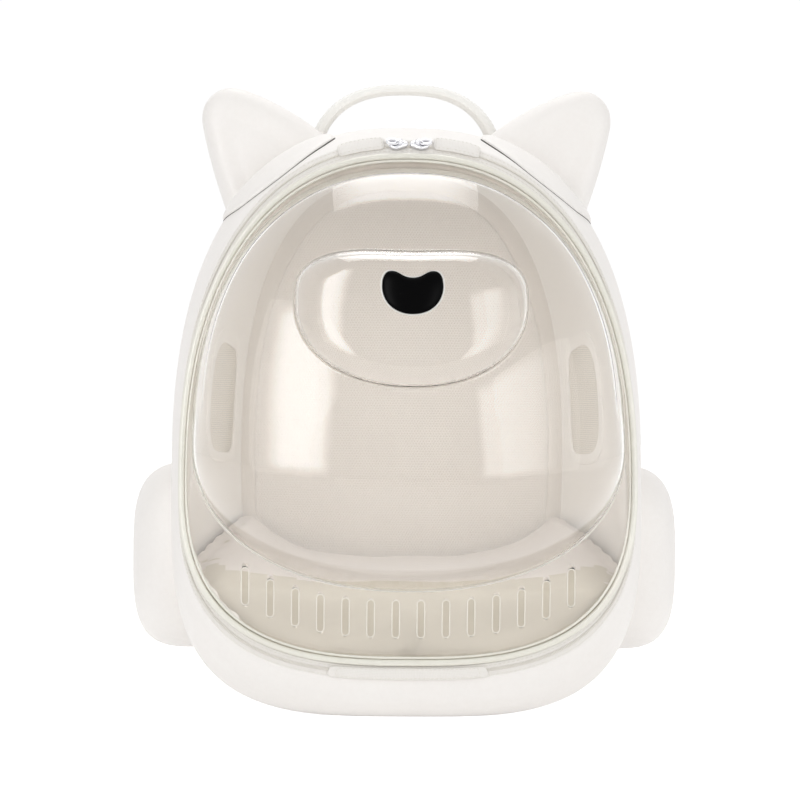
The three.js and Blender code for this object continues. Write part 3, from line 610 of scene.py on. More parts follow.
def hoopPiece(name, node, material, outer, inner, rows, around, edgeRows, fold=0.0):
    # out along the outer face, round the back edge, home along the inner face and round the front edge,
    # with holes for the side mesh; the inner face may fold at the low corners
    steps, turn = np.linspace(1, lastStep, rows), np.linspace(0, pi, edgeRows + 2)[1:-1]
    half, middle, angles = (outer - inner) / 2, (outer + inner) / 2, turns(around)
    step = np.concatenate([steps, np.full(edgeRows, lastStep), steps[::-1], np.full(edgeRows, 1.0)])[:, None]
    lift = np.concatenate([np.full(rows, outer), middle + half * np.cos(turn),
                           np.full(rows, inner), middle - half * np.cos(turn)])[:, None]
    forward = np.concatenate([np.zeros(rows), -half * np.sin(turn),
                              np.zeros(rows), half * np.sin(turn)])[:, None]
    low = ease(-0.2, -0.75, np.sin(angles)) * ease(-0.95, -0.8, np.sin(angles))
    wave = 0.5 + 0.5 * np.sin(9 * angles + 3.1 * step + 1.2 * np.sin(5 * angles))
    folds = fold * low * wave * (lift < middle) * ease(1, 2, step) * ease(8, 7, step)
    keep = ~inFlank((step + np.roll(step, -1)) / 2, angles + pi / around)
    return ringPiece(name, bodyAt(step, angles, lift - folds, forward), material, node=node, keep=keep)


# moulded shell, and the lining: thin cloth just inside it, slack enough to fold at the low corners
shellSet = {"outer": 0.0, "inner": -3.0, "rows": 84, "around": 320, "edgeRows": 5}
liningSet = {"outer": -3.3, "inner": -4.5, "rows": 70, "around": 280, "edgeRows": 3, "fold": 1.6}
hoopPiece("shell_body", "shell", shellCream, **shellSet)
lining = hoopPiece("lining_cloth", "lining", liningBeige, **liningSet)

# mesh cloth in the flanks, with a flat sewn binding on both faces
t, reach = turns(96), np.linspace(0.04, 1.06, 16)[:, None]
for name, side in sides.items():
    cloth = bodyAt(*flankAt(side, reach, t), flankSet["lift"] - flankSet["sag"] * (1 - reach ** 2))
    middle = bodyAt(*flankAt(side, 0, 0.0), flankSet["lift"] - flankSet["sag"])
    panel = gridPiece(f"flank_mesh_{name}", cloth, whiteMesh, closeColumns=True, poles=(middle, None),
                      node=f"side_mesh_{name}", inside=cabinMiddle)
    # the cloth's pattern runs along and up the flank, so its uv is taken from depth and height
    corner = np.empty(len(panel.data.loops), int)
    panel.data.loops.foreach_get("vertex_index", corner)
    place = np.vstack([cloth.reshape(-1, 3), middle])[corner]
    panel.data.uv_layers["cloth"].data.foreach_set("uv", (place[:, 1:] / 1000).ravel())
    softWall(panel, flankSet["thick"])
    # binding: a flat ribbon over the edge of the window, rounded along both sides
    ways = np.array([0.9, 0.905, 0.93, 1.0, 1.06, 1.085, 1.09])[:, None]
    rise = np.array([0, 0.6, 0.95, 1.0, 0.95, 0.6, 0])[:, None]
    for face, material in (("outer", creamCloth), ("inner", liningBinding)):
        base, top, foot = flankSet[face]
        ribbon = bodyAt(*flankAt(side, ways, t), mix(base, top, rise))
        under = bodyAt(*flankAt(side, ways[::-1], t), foot)
        ringPiece(f"flank_binding_{face}_{name}", np.concatenate([ribbon, under]), material)
        if face == "outer":
            off = bodyFrame(*flankAt(side, 1, t))[2]
            sew(f"flank_stitches_{name}", ribbon[3], off, flankSet["stitch"], closed=True)
print("shell, lining and side mesh made")

# back panel: padded, dotted weave inside; two sewn channels and a spine outside
panelSet = {
    "outline": {"centreZ": widestZ, "halfWidth": 111.6, "top": 379.6, "bottom": 33.4, "arch": 2.5,
                "heel": 3.2},
    "innerY": 109.0, "outerY": 119.0, "edgeY": (112.0, 114.0), "edge": 1.004, "crown": 0.8, "pad": 2.4,
    "channels": (128, 292), "channelWidth": 4.5, "channelBend": 0.0006,
    "spine": 7, "spineWidth": 3.5, "spineFrom": (120, 140), "spineTo": (300, 280), "rows": 60, "around": 200,
    "rollStep": 6.2, "rollLift": -4.0, "rollPress": 0.2, "rollY": 108.6, "roll": 1.9,
}
t = turns(panelSet["around"])
edge = outlineAt(panelSet["outline"], t)
r = np.linspace(0.02, 1, panelSet["rows"])[:, None]
x, z = r * edge[:, 0], mix(widestZ, edge[:, 1], r)
# each face bulges as 1 - r^8 or r^10; the outer one is drawn in along the sewn lines
seam = np.exp(-((np.abs(x) - panelSet["spine"]) / panelSet["spineWidth"]) ** 2)
seam = seam * ease(*panelSet["spineFrom"], z) * ease(*panelSet["spineTo"], z)
bent = z - panelSet["channelBend"] * x ** 2
seam = seam + sum(np.exp(-((bent - at) / panelSet["channelWidth"]) ** 2) for at in panelSet["channels"])
puff = (1 - r ** 10) * (1 - np.clip(seam, 0, 1))
faceIn = xyz(x, panelSet["innerY"] + panelSet["crown"] * r ** 8, z)
faceOut = xyz(x, panelSet["outerY"] - panelSet["pad"] + panelSet["pad"] * puff, z)
rimX, rimZ = x[-1] * panelSet["edge"], mix(widestZ, z[-1], panelSet["edge"])
rim = np.stack([xyz(rimX, y, rimZ) for y in panelSet["edgeY"]])
panelGrid = np.concatenate([faceIn, rim, faceOut[::-1]])
outside = np.repeat(np.arange(len(panelGrid) - 1) >= panelSet["rows"], len(t))
parts = np.concatenate([outside, 0 * t, 0 * t + 1]).astype(int)
poles = tuple((0, panelSet[k], widestZ) for k in ("innerY", "outerY"))
backPanel = tubePiece("back_panel_pad", panelGrid, [panelDots, panelBack], node="back_panel",
                      poles=poles, parts=parts)
# roll: an oval section round the panel that fills the corner between it and the lining
wallIn = bodyAt(panelSet["rollStep"], t, panelSet["rollLift"])
wallIn[:, 1] = panelSet["rollY"]
panelEdge = xyz(x[-1], panelSet["rollY"], z[-1])
path = mix(panelEdge, wallIn, 0.5)
half = np.linalg.norm(wallIn - panelEdge, axis=1)[:, None] / 2 + panelSet["rollPress"]
outwards = unit(path * [1, 0, 1] - [0, 0, widestZ])
ringPiece("panel_roll", sweep(path, outwards, toFront, oval(20, half, panelSet["roll"])), rollBeige)

# floor cushion: a crowned pad that rises to its back corners, as wide as the cabin
cushionSet = {
    "frontY": -78.0, "backY": 104.0, "front": 90.5, "rise": 12, "side": (3, 29),
    "curlFrom": 115, "curlTo": 118, "sideZ": 105.0, "sideGap": 8, "gap": 8.3,
    "round": 9, "sideRound": 4, "sideFrom": 0.86, "wrinkle": 0.9, "highest": 140,
    "floor": 10, "footRise": 12, "footFrom": 70, "frontPole": 45, "backPole": 60,
    "voxel": 5, "pressure": 4, "frames": 20, "cap": 2.6,
}


def cushionTop(x, y):
    # height: front + rise with depth + sides that curl up with a power of the width
    f = np.clip((y - cushionSet["frontY"]) / (cushionSet["backY"] - cushionSet["frontY"]), 0, 1)
    first, more = cushionSet["side"]
    curl = (np.abs(x) / cushionSet["curlFrom"]) ** 3.5
    return cushionSet["front"] + cushionSet["rise"] * f + (first + more * f) * curl


y = mix(cushionSet["frontY"], cushionSet["backY"], 0.5 - 0.5 * np.cos(np.linspace(0, pi, 50)))[:, None]
u = np.sin(np.linspace(-pi / 2, pi / 2, 61))[None, :]
edgeX = np.minimum(bodySide(y, cushionSet["sideZ"]) - cushionSet["sideGap"], cushionSet["curlTo"])
edgeZ = cushionTop(edgeX, y) - cushionSet["sideRound"]
half = bodySide(y, edgeZ) - cushionSet["gap"]
fromEnd = np.clip(np.minimum(y - cushionSet["frontY"], cushionSet["backY"] - y) / cushionSet["round"], 0, 1)
endDrop = cushionSet["round"] * (1 - np.sqrt(1 - (1 - fromEnd) ** 2))
fromSide = np.clip((np.abs(u) - cushionSet["sideFrom"]) / (1 - cushionSet["sideFrom"]), 0, 1)
sideDrop = cushionSet["sideRound"] * (1 - np.sqrt(np.maximum(1 - fromSide ** 2, 0)))
wrinkle = cushionSet["wrinkle"] * np.sin(y / 17 + u * 5) * np.sin(u * 9 - y / 31) * (1 - np.abs(u) ** 4)
topX = u * half
topZ = cushionTop(np.clip(np.abs(topX), 0, cushionSet["curlTo"]), y) - np.maximum(endDrop, sideDrop) + wrinkle
topZ = np.minimum(topZ, cushionSet["highest"])
# the foot rises towards the back, as the shell does
footZ = cushionSet["floor"] + cushionSet["footRise"] * ease(cushionSet["footFrom"], cushionSet["backY"], y)
wallZ = mix(topZ[:, -1:], footZ, np.linspace(0, 1, 9)[1:])
wallX = np.minimum(bodySide(y, wallZ) - cushionSet["gap"], half)
footX = np.linspace(1, -1, 9)[1:-1] * wallX[:, -1:]
pad = xyz(np.concatenate([topX, wallX, footX, -wallX[:, ::-1]], 1), y,
          np.concatenate([topZ, wallZ, 0 * footX + footZ, wallZ[:, ::-1]], 1))
cushion = tubePiece("floor_cushion", pad, [cushionPale, cushionShadedSide], node="floor_mat",
                    poles=((0, cushionSet["frontY"], cushionSet["frontPole"]),
                           (0, cushionSet["backY"], cushionSet["backPole"])))
swell(cushion, *(cushionSet[k] for k in ("voxel", "pressure", "frames", "cap")))
# painted shade: its front wall, picked by the way it faces, takes a darker copy of the cushion cloth for the
# shade it lies in
normal = np.empty(len(cushion.data.polygons) * 3)
cushion.data.polygons.foreach_get("normal", normal)
cushion.data.polygons.foreach_set("material_index", (normal[1::3] < -0.3).astype(int))
print("back panel and cushion made")

# clear window: one grid from the flange's edge over the chin band with its slots, the dome and the muzzle
windowSet = {
    "wall": 2.0,
    "edge": {"centreZ": 170, "halfWidth": 155.9, "top": 391.4, "bottom": 41.6, "arch": 2.3, "heel": 2.8},
    "dome": {"centreZ": 190, "halfWidth": 151, "top": 386, "bottom": 88.5, "arch": 2.25, "heel": 2.15},
    "depth": 80, "swell": 2.05, "footSide": 0.5, "footLow": 0.8, "flangeRise": 0.22, "crownRise": 4,
    "muzzle": {"centreZ": 289, "halfWidth": 81, "top": 327, "bottom": 229.5, "arch": 3, "heel": 2.15},
    "muzzleDepth": 20, "muzzleUpright": 0.16, "dip": 3, "dipWidth": 40, "muzzleRound": 0.3,
    "slots": 14, "pitch": 17.4, "slotHalf": 2.6, "slotStraight": 10.4, "slotZ": 69.5, "slotLift": 22,
    "slotBend": 2.8, "lip": 0.36, "sideColumns": 220, "domeRows": 46, "roundRows": 12, "faceRows": 7,
    "faceTo": 0.95, "filletZ": (195, 225), "creaseTop": 205,
}
rim, dome, muzzle = (windowSet[k] for k in ("edge", "dome", "muzzle"))


def lowerEdge(shape, x):
    # lower half of an outline as a height over x
    share = np.clip(np.abs(x) / shape["halfWidth"], 0, 1) ** shape["heel"]
    return shape["centreZ"] - (shape["centreZ"] - shape["bottom"]) * (1 - share) ** (1 / shape["heel"])


def muzzleOutline(angle):
    # its outline with a soft hollow in the middle of the top edge
    point = outlineAt(muzzle, angle)
    hollow = windowSet["dip"] * np.exp(-(point[..., 0] / windowSet["dipWidth"]) ** 2)
    point[..., 1] -= np.where(point[..., 1] > muzzle["centreZ"], hollow, 0)
    return point


def bulgeHeight(x, z):
    # dome over the flange: depth * (1 - level^swell)^foot, with the foot steep at the sides and easy
    # at the chin
    above = z >= dome["centreZ"]
    rise = np.where(above, dome["top"] - dome["centreZ"], dome["centreZ"] - dome["bottom"])
    square = np.where(above, dome["arch"], dome["heel"])
    away = np.abs((z - dome["centreZ"]) / rise)
    level = (np.abs(x / dome["halfWidth"]) ** square + away ** square) ** (1 / square)
    foot = mix(windowSet["footSide"], windowSet["footLow"], ease(0, 1, (dome["centreZ"] - z) / rise))
    return windowSet["depth"] * np.maximum(1 - level ** windowSet["swell"], 0) ** foot


def muzzleRise(z):
    return windowSet["muzzleDepth"] + windowSet["muzzleUpright"] * (z - muzzle["centreZ"])


def rimY(z):
    return body["y"][0] + body["lean"][0] * (z - widestZ)


def forwardOf(flat, height):
    return np.stack([flat[..., 0], rimY(flat[..., 1]) - height, flat[..., 1]], -1)


def muzzleFront(x, z):
    return rimY(z) - windowSet["crownRise"] - bulgeHeight(x, z) - muzzleRise(z)


# columns: across the slots from left to right, then round the sides and over the top
slotX = (np.arange(windowSet["slots"]) - (windowSet["slots"] - 1) / 2) * windowSet["pitch"]
slotZ = windowSet["slotZ"] + windowSet["slotLift"] * np.abs(slotX / slotX[-1]) ** windowSet["slotBend"]
offsets = np.array([-8.7, -6.6, -4.6, -3.3, -2.6, -2.3, -1.6, -0.6, 0.6, 1.6, 2.3, 2.6, 3.3, 4.6, 6.6])
chinX = np.append((slotX[:, None] + offsets).ravel(), slotX[-1] + 8.7)
chinOff = np.append(np.tile(offsets, len(slotX)), 8.7)


def windowLine(shape):
    # lower edge over the chin's columns, then the outline from its right end round to its left end
    chin = np.stack([chinX, lowerEdge(shape, chinX)], -1)
    start = math.atan2(chin[-1, 1] - shape["centreZ"], chin[-1, 0])
    around = np.linspace(start, pi - start, windowSet["sideColumns"] + 2)[1:-1]
    return np.concatenate([chin, outlineAt(shape, around)])


edge, foot = windowLine(rim), windowLine(dome)
snoutCentre = np.array([0, muzzle["centreZ"]])
snout = muzzleOutline(np.arctan2(foot[:, 1] - snoutCentre[1], foot[:, 0]))

# rows of the band, as shares of the way from edge to foot; across a slot they follow its rounded ends
slotMiddle = np.interp(chinX, np.stack([slotX - 3.3, slotX + 3.3], 1).ravel(), np.repeat(slotZ, 2))
slotReach = windowSet["slotStraight"] + np.sqrt(np.maximum(windowSet["slotHalf"] ** 2 - chinOff ** 2, 0))
chinEdge, chinFoot = edge[:len(chinX), 1], foot[:len(chinX), 1]
lowEnd, highEnd = slotMiddle - slotReach, slotMiddle + slotReach
bandZ = np.concatenate([mix(chinEdge, lowEnd, np.array([[0], [0.3], [0.6], [0.85]])),
                        mix(lowEnd, highEnd, np.linspace(0, 1, 5)[:, None]),
                        mix(highEnd, chinFoot, np.array([[0.3], [0.6], [0.82], [0.94], [1]]))])
bandShare = (bandZ - chinEdge) / (chinFoot - chinEdge)
bandShare = np.concatenate([bandShare, np.repeat(bandShare[:, -1:], windowSet["sideColumns"], 1)], 1)
flangeHeight = windowSet["flangeRise"] * np.linalg.norm(foot - edge, axis=1)
bandRows = forwardOf(mix(edge, foot, bandShare[..., None]), flangeHeight * bandShare)
share = 0.5 - 0.5 * np.cos(np.linspace(0, pi, windowSet["domeRows"] + 1))[1:, None]
flat = mix(foot, snout, share[..., None])
height = mix(flangeHeight, windowSet["crownRise"], share) + bulgeHeight(flat[..., 0], flat[..., 1])
domeRows = forwardOf(flat, height)
# the muzzle's edge is a quarter turn, then its face runs in to the middle
a, faceRows = np.linspace(0, pi / 2, windowSet["roundRows"] + 1)[1:], windowSet["faceRows"]
inset = np.append(windowSet["muzzleRound"] * (1 - np.cos(a)),
                  np.linspace(windowSet["muzzleRound"], windowSet["faceTo"], faceRows)[1:])
stand = np.append(np.sin(a), np.ones(faceRows - 1))[:, None]
flat = mix(snout, snoutCentre, inset[:, None, None])
height = bulgeHeight(flat[..., 0], flat[..., 1]) + muzzleRise(flat[..., 1]) * stand
muzzleRows = forwardOf(flat, windowSet["crownRise"] + height)
windowGrid = np.concatenate([bandRows, domeRows, muzzleRows])
creaseRow, snoutRow = len(bandRows) - 1, len(bandRows) + len(domeRows) - 1
# crease and muzzle edge are rounded; above the chin the dome's foot is an easy fillet
fillet = ease(*windowSet["filletZ"], foot[:, 1])[:, None]
rounded = ((creaseRow, 2, 2, 1.0), (creaseRow, 30, 8, fillet), (snoutRow, 2, 2, 1.0))
for row, times, reachRows, share in rounded:
    low, high = row - reachRows, row + reachRows + 1
    for _ in range(times):
        between = (windowGrid[low - 1:high - 1] + windowGrid[low + 1:high + 1]) / 2
        windowGrid[low:high] = mix(windowGrid[low:high], between, 0.5 * share)
keep = np.ones(windowGrid.shape[:2], bool)
inSlot = (np.arange(len(slotX))[:, None] * len(offsets) + np.arange(4, 11)).ravel()
keep[4:8, inSlot] = False
creaseHighlight = np.zeros(windowGrid.shape[:2], int)
creaseHighlight[creaseRow] = foot[:, 1] < windowSet["creaseTop"]  # painted highlight: the crease at the chin has a white line for the light it catches
parts = np.append(creaseHighlight[:-1][keep[:-1]], np.zeros(windowGrid.shape[1], int))
window = gridPiece("window_clear", windowGrid, [windowClear, windowEdge], closeColumns=True, keep=keep,
                   poles=(None, (0, muzzleFront(0, snoutCentre[1]), snoutCentre[1])), parts=parts,
                   node="window_dome", inside=cabinMiddle, sharp=180)
# painted highlight: the wall's cut edges take the opaque white edge finish, for the light that the clear
# plastic's edges catch
softWall(window, windowSet["wall"]).modifiers["wall"].material_offset_rim = 1
# lips of the slots: a fine bead round a straight-sided oval on the band; its pale finish is a painted
# highlight for the light that the slot's plastic edge catches
t, lip = turns(64), windowSet["lip"]
for k, (atX, atZ) in enumerate(zip(slotX, slotZ)):
    straight = windowSet["slotStraight"] * np.sign(np.round(np.sin(t), 6))
    lipX, lipZ = atX + windowSet["slotHalf"] * np.cos(t), atZ + windowSet["slotHalf"] * np.sin(t) + straight
    path = xyz(lipX, rimY(lipZ) - windowSet["flangeRise"] * (lipZ - lowerEdge(rim, lipX)), lipZ)
    bead = sweep(path, xyz(np.cos(t), 0, np.sin(t)), toFront, oval(8, lip, lip))
    ringPiece(f"slot_lip_{k + 1}", bead, lipPale)
print("window made:", len(window.data.polygons), "faces")

# nose: two lobes over a round foot, a crowned cap with a white line round it
noseSet = {"z": 294, "halfWidth": 20.5, "above": 14.6, "dip": 4.5, "below": 14.6, "crown": 3.0,
           "edge": 1.8, "sink": 0.3, "line": 0.6, "lineOut": 1.03, "lineRise": 0.5}


def bezier(p, count):
    t = np.linspace(0, 1, count, endpoint=False)[:, None]
    a, b, c, d = (np.array(q, float) for q in p)
    return a * (1 - t) ** 3 + 3 * b * t * (1 - t) ** 2 + 3 * c * t ** 2 * (1 - t) + d * t ** 3


w, up, low, dip = noseSet["halfWidth"], noseSet["above"], noseSet["below"], noseSet["dip"]
right = np.concatenate([bezier([(0, -low), (w * 0.62, -low), (w, -low * 0.42), (w, up * 0.3)], 16),
                        bezier([(w, up * 0.3), (w, up * 0.8), (w * 0.88, up), (w * 0.68, up)], 10),
                        bezier([(w * 0.68, up), (w * 0.42, up), (w * 0.36, up - dip), (0, up - dip)], 10)])
bean = np.concatenate([right, [[0, up - dip]], right[:0:-1] * [-1, 1]])
r = np.sin(np.linspace(0.05, pi / 2, 22))[:, None]
x, z = r * bean[:, 0], noseSet["z"] + r * bean[:, 1]
crown = noseSet["edge"] + noseSet["crown"] * np.sqrt(1 - r ** 2.6 * 0.999)
under = xyz(x, muzzleFront(x, z) + noseSet["sink"], z)[-1:]
cap = np.concatenate([xyz(x, muzzleFront(x, z) - crown, z), under])
front = muzzleFront(0, noseSet["z"])
poles = tuple((0, front - ahead, noseSet["z"])
              for ahead in (noseSet["edge"] + noseSet["crown"], -noseSet["sink"]))
tubePiece("nose_cap", cap, noseBlack, node="nose", sharp=60, poles=poles)
x, z = bean[:, 0], bean[:, 1]
path = xyz(x * noseSet["lineOut"], muzzleFront(x, noseSet["z"] + z) - noseSet["lineRise"],
           noseSet["z"] + z * noseSet["lineOut"])
line = sweep(path, unit(xyz(x, 0, z)), toFront, oval(8, noseSet["line"], noseSet["line"]))
ringPiece("nose_line", line, windowEdge, slot="piping")

# piping: a cord on the rim and a thin bead inside it
pipingSet = {"radius": 2.3, "beadRadius": 0.9, "beadInset": 0.9, "beadRise": 0.8, "around": 360,
             "binding": 2.0, "bindingLoose": 1.3, "looseAt": 214, "looseHalf": 13}
angles = turns(pipingSet["around"])
back, _, off = bodyFrame(0.0, angles)
cord = sweep(bodyPoint(0, angles), off, back, oval(14, pipingSet["radius"], pipingSet["radius"]))
ringPiece("piping_cord", cord, pipingCream, node="window_piping")
inset = pipingSet["beadInset"]
within = {**rim, "halfWidth": rim["halfWidth"] - inset, "top": rim["top"] - inset,
          "bottom": rim["bottom"] + inset}
path = forwardOf(outlineAt(within, angles), pipingSet["beadRise"])
inward = -xyz(np.cos(angles), 0, np.sin(angles))
offFlange = unit(toFront + toTop * body["lean"][0])
bead = sweep(path, inward, offFlange, oval(14, pipingSet["beadRadius"], pipingSet["beadRadius"]))
ringPiece("piping_bead", bead, pipingCream)
# sewn binding behind the flange: a narrow ribbon that comes out, unevenly cut, at the low left
loose = np.exp(-((angles - math.radians(pipingSet["looseAt"])) / math.radians(pipingSet["looseHalf"])) ** 2)
uneven = pipingSet["bindingLoose"] + 0.6 * np.sin(43 * angles) + 0.4 * np.sin(97 * angles + 1)
wander = pipingSet["binding"] + uneven * loose
ways = np.array([0.2, 0.25, 0.6, 0.95, 1.0, 0.6, 0.3])[:, None]
deep = np.array([2.6, 2.3, 2.2, 2.3, 2.6, 3.2, 3.2])[:, None] + 0.15 * np.sin(90 * angles)
ribbon = outlineAt(rim, angles) + inward[:, [0, 2]] * (ways * wander)[..., None]
ringPiece("rim_binding", forwardOf(ribbon, -deep), liningBinding)
print("nose and piping made")

# zip: tape between the piping and the shell, a row of teeth and two lines of sewing
zipSet = {"tape": (-1.6, -0.4), "fromPiping": 2.6, "fromShell": 0.3, "teethStep": 0.58, "toothPitch": 1.05,
          "tooth": (2.6, 1.0, 1.1), "toothLift": 0.35, "teethSink": -0.45, "sewingSink": -0.42,
          "sewing": {"inner": 0.34, "outer": 0.86}, "stitch": (3.2, 2.3, 0.55, 0.5)}
width = np.linalg.norm(bodyPoint(1, angles) - bodyPoint(0, angles), axis=1)
acrossTape = np.array([0.0, 0.02, 0.25, 0.5, 0.75, 0.98, 1.0, 1.0, 0.5, 0.0])[:, None]
highTape = np.array([0.3, 0.9, 1.0, 0.8, 1.0, 0.9, 0.3, 0, 0, 0])[:, None]
tapeStep = mix(zipSet["fromPiping"] / width, 1 - zipSet["fromShell"] / width, acrossTape)
tape = bodyAt(tapeStep, angles, mix(*zipSet["tape"], highTape))
ringPiece("zip_tape_cloth", tape, creamCloth, node="zip_tape")


def zipLine(step, sink):
    return bodyAt(step, angles, sink), bodyFrame(step, angles)[2]


teeth = zipLine(zipSet["teethStep"], zipSet["teethSink"])
centres, along, up = evenly(*teeth, zipSet["toothPitch"], closed=True)
stitches("zip_teeth", (centres, np.cross(up, along), up), *zipSet["tooth"], lift=zipSet["toothLift"])
for name, at in zipSet["sewing"].items():
    sew(f"zip_sewing_{name}", *zipLine(at, zipSet["sewingSink"]), zipSet["stitch"], closed=True)

# cloth flaps over the zip at the top, and the hinge tab at the foot
flapSet = {"lift": 1.2, "thick": 1.6, "from": 17, "to": 50, "steps": (0.4, 1.25), "tabHalf": 53,
           "tabSteps": (0.3, 1.0), "puff": 0.7, "edge": 0.4, "rounding": 0.3, "tabRounding": 0.15,
           "flat": (0.034, 0.014), "tabFlat": (0.109, 0.012), "stitch": (3.0, 2.2, 0.55, 0.5)}


def flapBorder(grid):
    return np.concatenate([grid[3:-3, 2], grid[-3, 2:-2], grid[-4:2:-1, -3], grid[2, -3:2:-1]])


def flap(name, stepRange, angleRange, node, rounding):
    # patch of cloth on the body: a rounded rectangle in step and angle, a little fuller in its middle
    u, v = np.linspace(-1, 1, 41)[:, None], np.linspace(-1, 1, 15)[None, :]
    trim = 1 - rounding * 0.25 * np.clip((np.abs(v) - 0.4) / 0.6, 0, 1) ** 3
    angle = mix(*angleRange, 0.5 + 0.5 * u * trim)
    step = mix(*stepRange, 0.5 + 0.5 * v * (1 - 0.12 * np.abs(u) ** 8))
    grid = bodyAt(step, angle, flapSet["lift"] + flapSet["puff"] * (1 - np.abs(u) ** 6) * (1 - v ** 4))
    piece = gridPiece(name, grid, creamCloth, node=node, inside=cabinMiddle)
    softWall(piece, flapSet["thick"], flapSet["edge"])
    off = unit(np.cross(np.gradient(grid, axis=0), np.gradient(grid, axis=1)))
    off = off * np.sign(np.sum(off * (grid - np.array(cabinMiddle)), -1, keepdims=True))
    sew(name + "_sewing", flapBorder(grid), flapBorder(off), flapSet["stitch"], closed=True)


for name, side in sides.items():
    ends = [pi / 2 - side * math.atan(flapSet[k] / (body["top"][0] - widestZ)) for k in ("from", "to")]
    flap(f"zip_flap_{name}", flapSet["steps"], ends, f"zip_cover_{name}",
         flapSet["rounding"])
turn = math.atan(flapSet["tabHalf"] / (widestZ - body["bottom"][0]))
flap("hinge_flap", flapSet["tabSteps"], (-pi / 2 - turn, -pi / 2 + turn), "hinge_tab",
     flapSet["tabRounding"])

# zip sliders: a waisted body with a bridge, and a loop that lies on it;
# x runs out along the zip, z off the surface
sliderSet = {"length": 14, "width": 9, "thick": 3.6, "gap": 1.2, "bridge": (3.6, 9.4), "rise": 3.7,
             "wire": (1.1, 0.62), "pull": (6.7, 16), "pullWidth": 6.4,
             "pullThick": 1.3, "pullLift": 4.2, "pullHalf": 1.2}
zipMiddle = bodyPoint(zipSet["teethStep"], pi / 2)
zipUp = bodyFrame(zipSet["teethStep"], pi / 2)[2]
# body: rings that follow an outline with a narrow tail, each with its height and its share of the outline
t, middle, thick = turns(56), sliderSet["length"] / 2, sliderSet["thick"]
x, y = squarish(t, middle, sliderSet["width"] / 2, 2.8)
y = y * (1 - 0.45 * ease(0.2, -1.0, np.cos(t)) - 0.16 * ease(0.2, 1, np.cos(t)))
height = np.array([0.0, 0.35, 0.5, 0.65, 0.8, 0.93, 1.0, 1.02])[:, None]
scale = np.array([0.9, 0.97, 1.0, 0.9, 1.0, 0.97, 0.86, 0.5])[:, None]
sliderBody = xyz(middle + x * scale, y * scale, height * thick)
sliderPoles = np.array([[middle, 0, 0], [middle, 0, 1.03 * thick]])
# bridge: a round wire on a low arch
b = np.linspace(0, pi, 19)
archZ = thick - 0.6 + sliderSet["rise"] * np.sin(b) ** 0.6
arch = xyz(mix(*sliderSet["bridge"], 0.5 - 0.5 * np.cos(b)), 0, archZ)
bridge = sweep(arch, toBack, np.cross(unit(np.gradient(arch, axis=0)), toBack), oval(10, *sliderSet["wire"]))
# pull: a flat loop with a rounded end, made as a small section round an oval
t, (lowX, highX), rod = turns(48), sliderSet["pull"], sliderSet["pullHalf"]
ovalX, ovalY = (highX - lowX) / 2 - rod, sliderSet["pullWidth"] / 2 - rod
x, y = squarish(t, ovalX, ovalY, 2.6)
path = xyz((lowX + highX) / 2 + x, y, sliderSet["pullLift"] + sliderSet["pullThick"] / 2)
outwards = unit(xyz(np.cos(t) / ovalX, np.sin(t) / ovalY, 0))
pull = sweep(path, outwards, toTop, squarish(turns(12), rod, sliderSet["pullThick"] / 2, 3))
for name, side in sides.items():
    out = side * toRight
    axes = np.stack([out, np.cross(zipUp, out), zipUp])  # from the slider's own lengths to the object's frame
    start = zipMiddle + out * sliderSet["gap"] / 2
    tubePiece(f"slider_body_{name}", start + sliderBody @ axes, zipSilver, node=f"zip_slider_{name}",
              sharp=70, poles=tuple(start + sliderPoles @ axes))
    tubePiece(f"slider_bridge_{name}", start + bridge @ axes, zipSilver)
    ringPiece(f"pull_loop_{name}", start + pull @ axes, zipSilver, node=f"zip_pull_{name}")
print("zip made")

# ears: a puffed form on a rounded three-cornered outline, dished in front, seated on the shoulder
earSet = {
    "tip": (128, 426), "tipRadius": 22, "tipArc": (-12, 108), "outer": (122, 334),
    "outerBend": (140.8, 377.7), "inner": (44, 400), "innerBend": (80.4, 433.6),
    "middleX": 108, "middleY": 32, "middleZ": 398,
    "taperFrom": 360, "taperTo": 448, "tipDepth": 0.6, "front": 24, "back": 26, "dish": 6.2, "puff": 3,
    "rimFrom": 0.36, "rimTo": 0.9, "sink": 0.8,
}
collarSet = {"from": 102.4, "to": 126.6, "middle": 113.5, "front": 1.1, "sweep": 0.011, "back": 4.3,
             "lift": 3.4, "sink": 0.8, "count": 60}
arc = np.radians(np.linspace(*earSet["tipArc"], 25))
tip = earSet["tip"] + earSet["tipRadius"] * np.stack([np.cos(arc), np.sin(arc)], -1)


def bend(start, control, end):
    # curve of the second degree, pulled towards a control point
    t = np.linspace(0, 1, 25)[1:, None]
    a, b, c = (np.array(p, float) for p in (start, control, end))
    return a * (1 - t) ** 2 + 2 * b * t * (1 - t) + c * t ** 2


def earDepth(depth, z):
    # the ear is thinner towards its tip
    taper = ease(earSet["taperFrom"], earSet["taperTo"], z)
    return earSet["middleY"] + depth * mix(1, earSet["tipDepth"], taper)


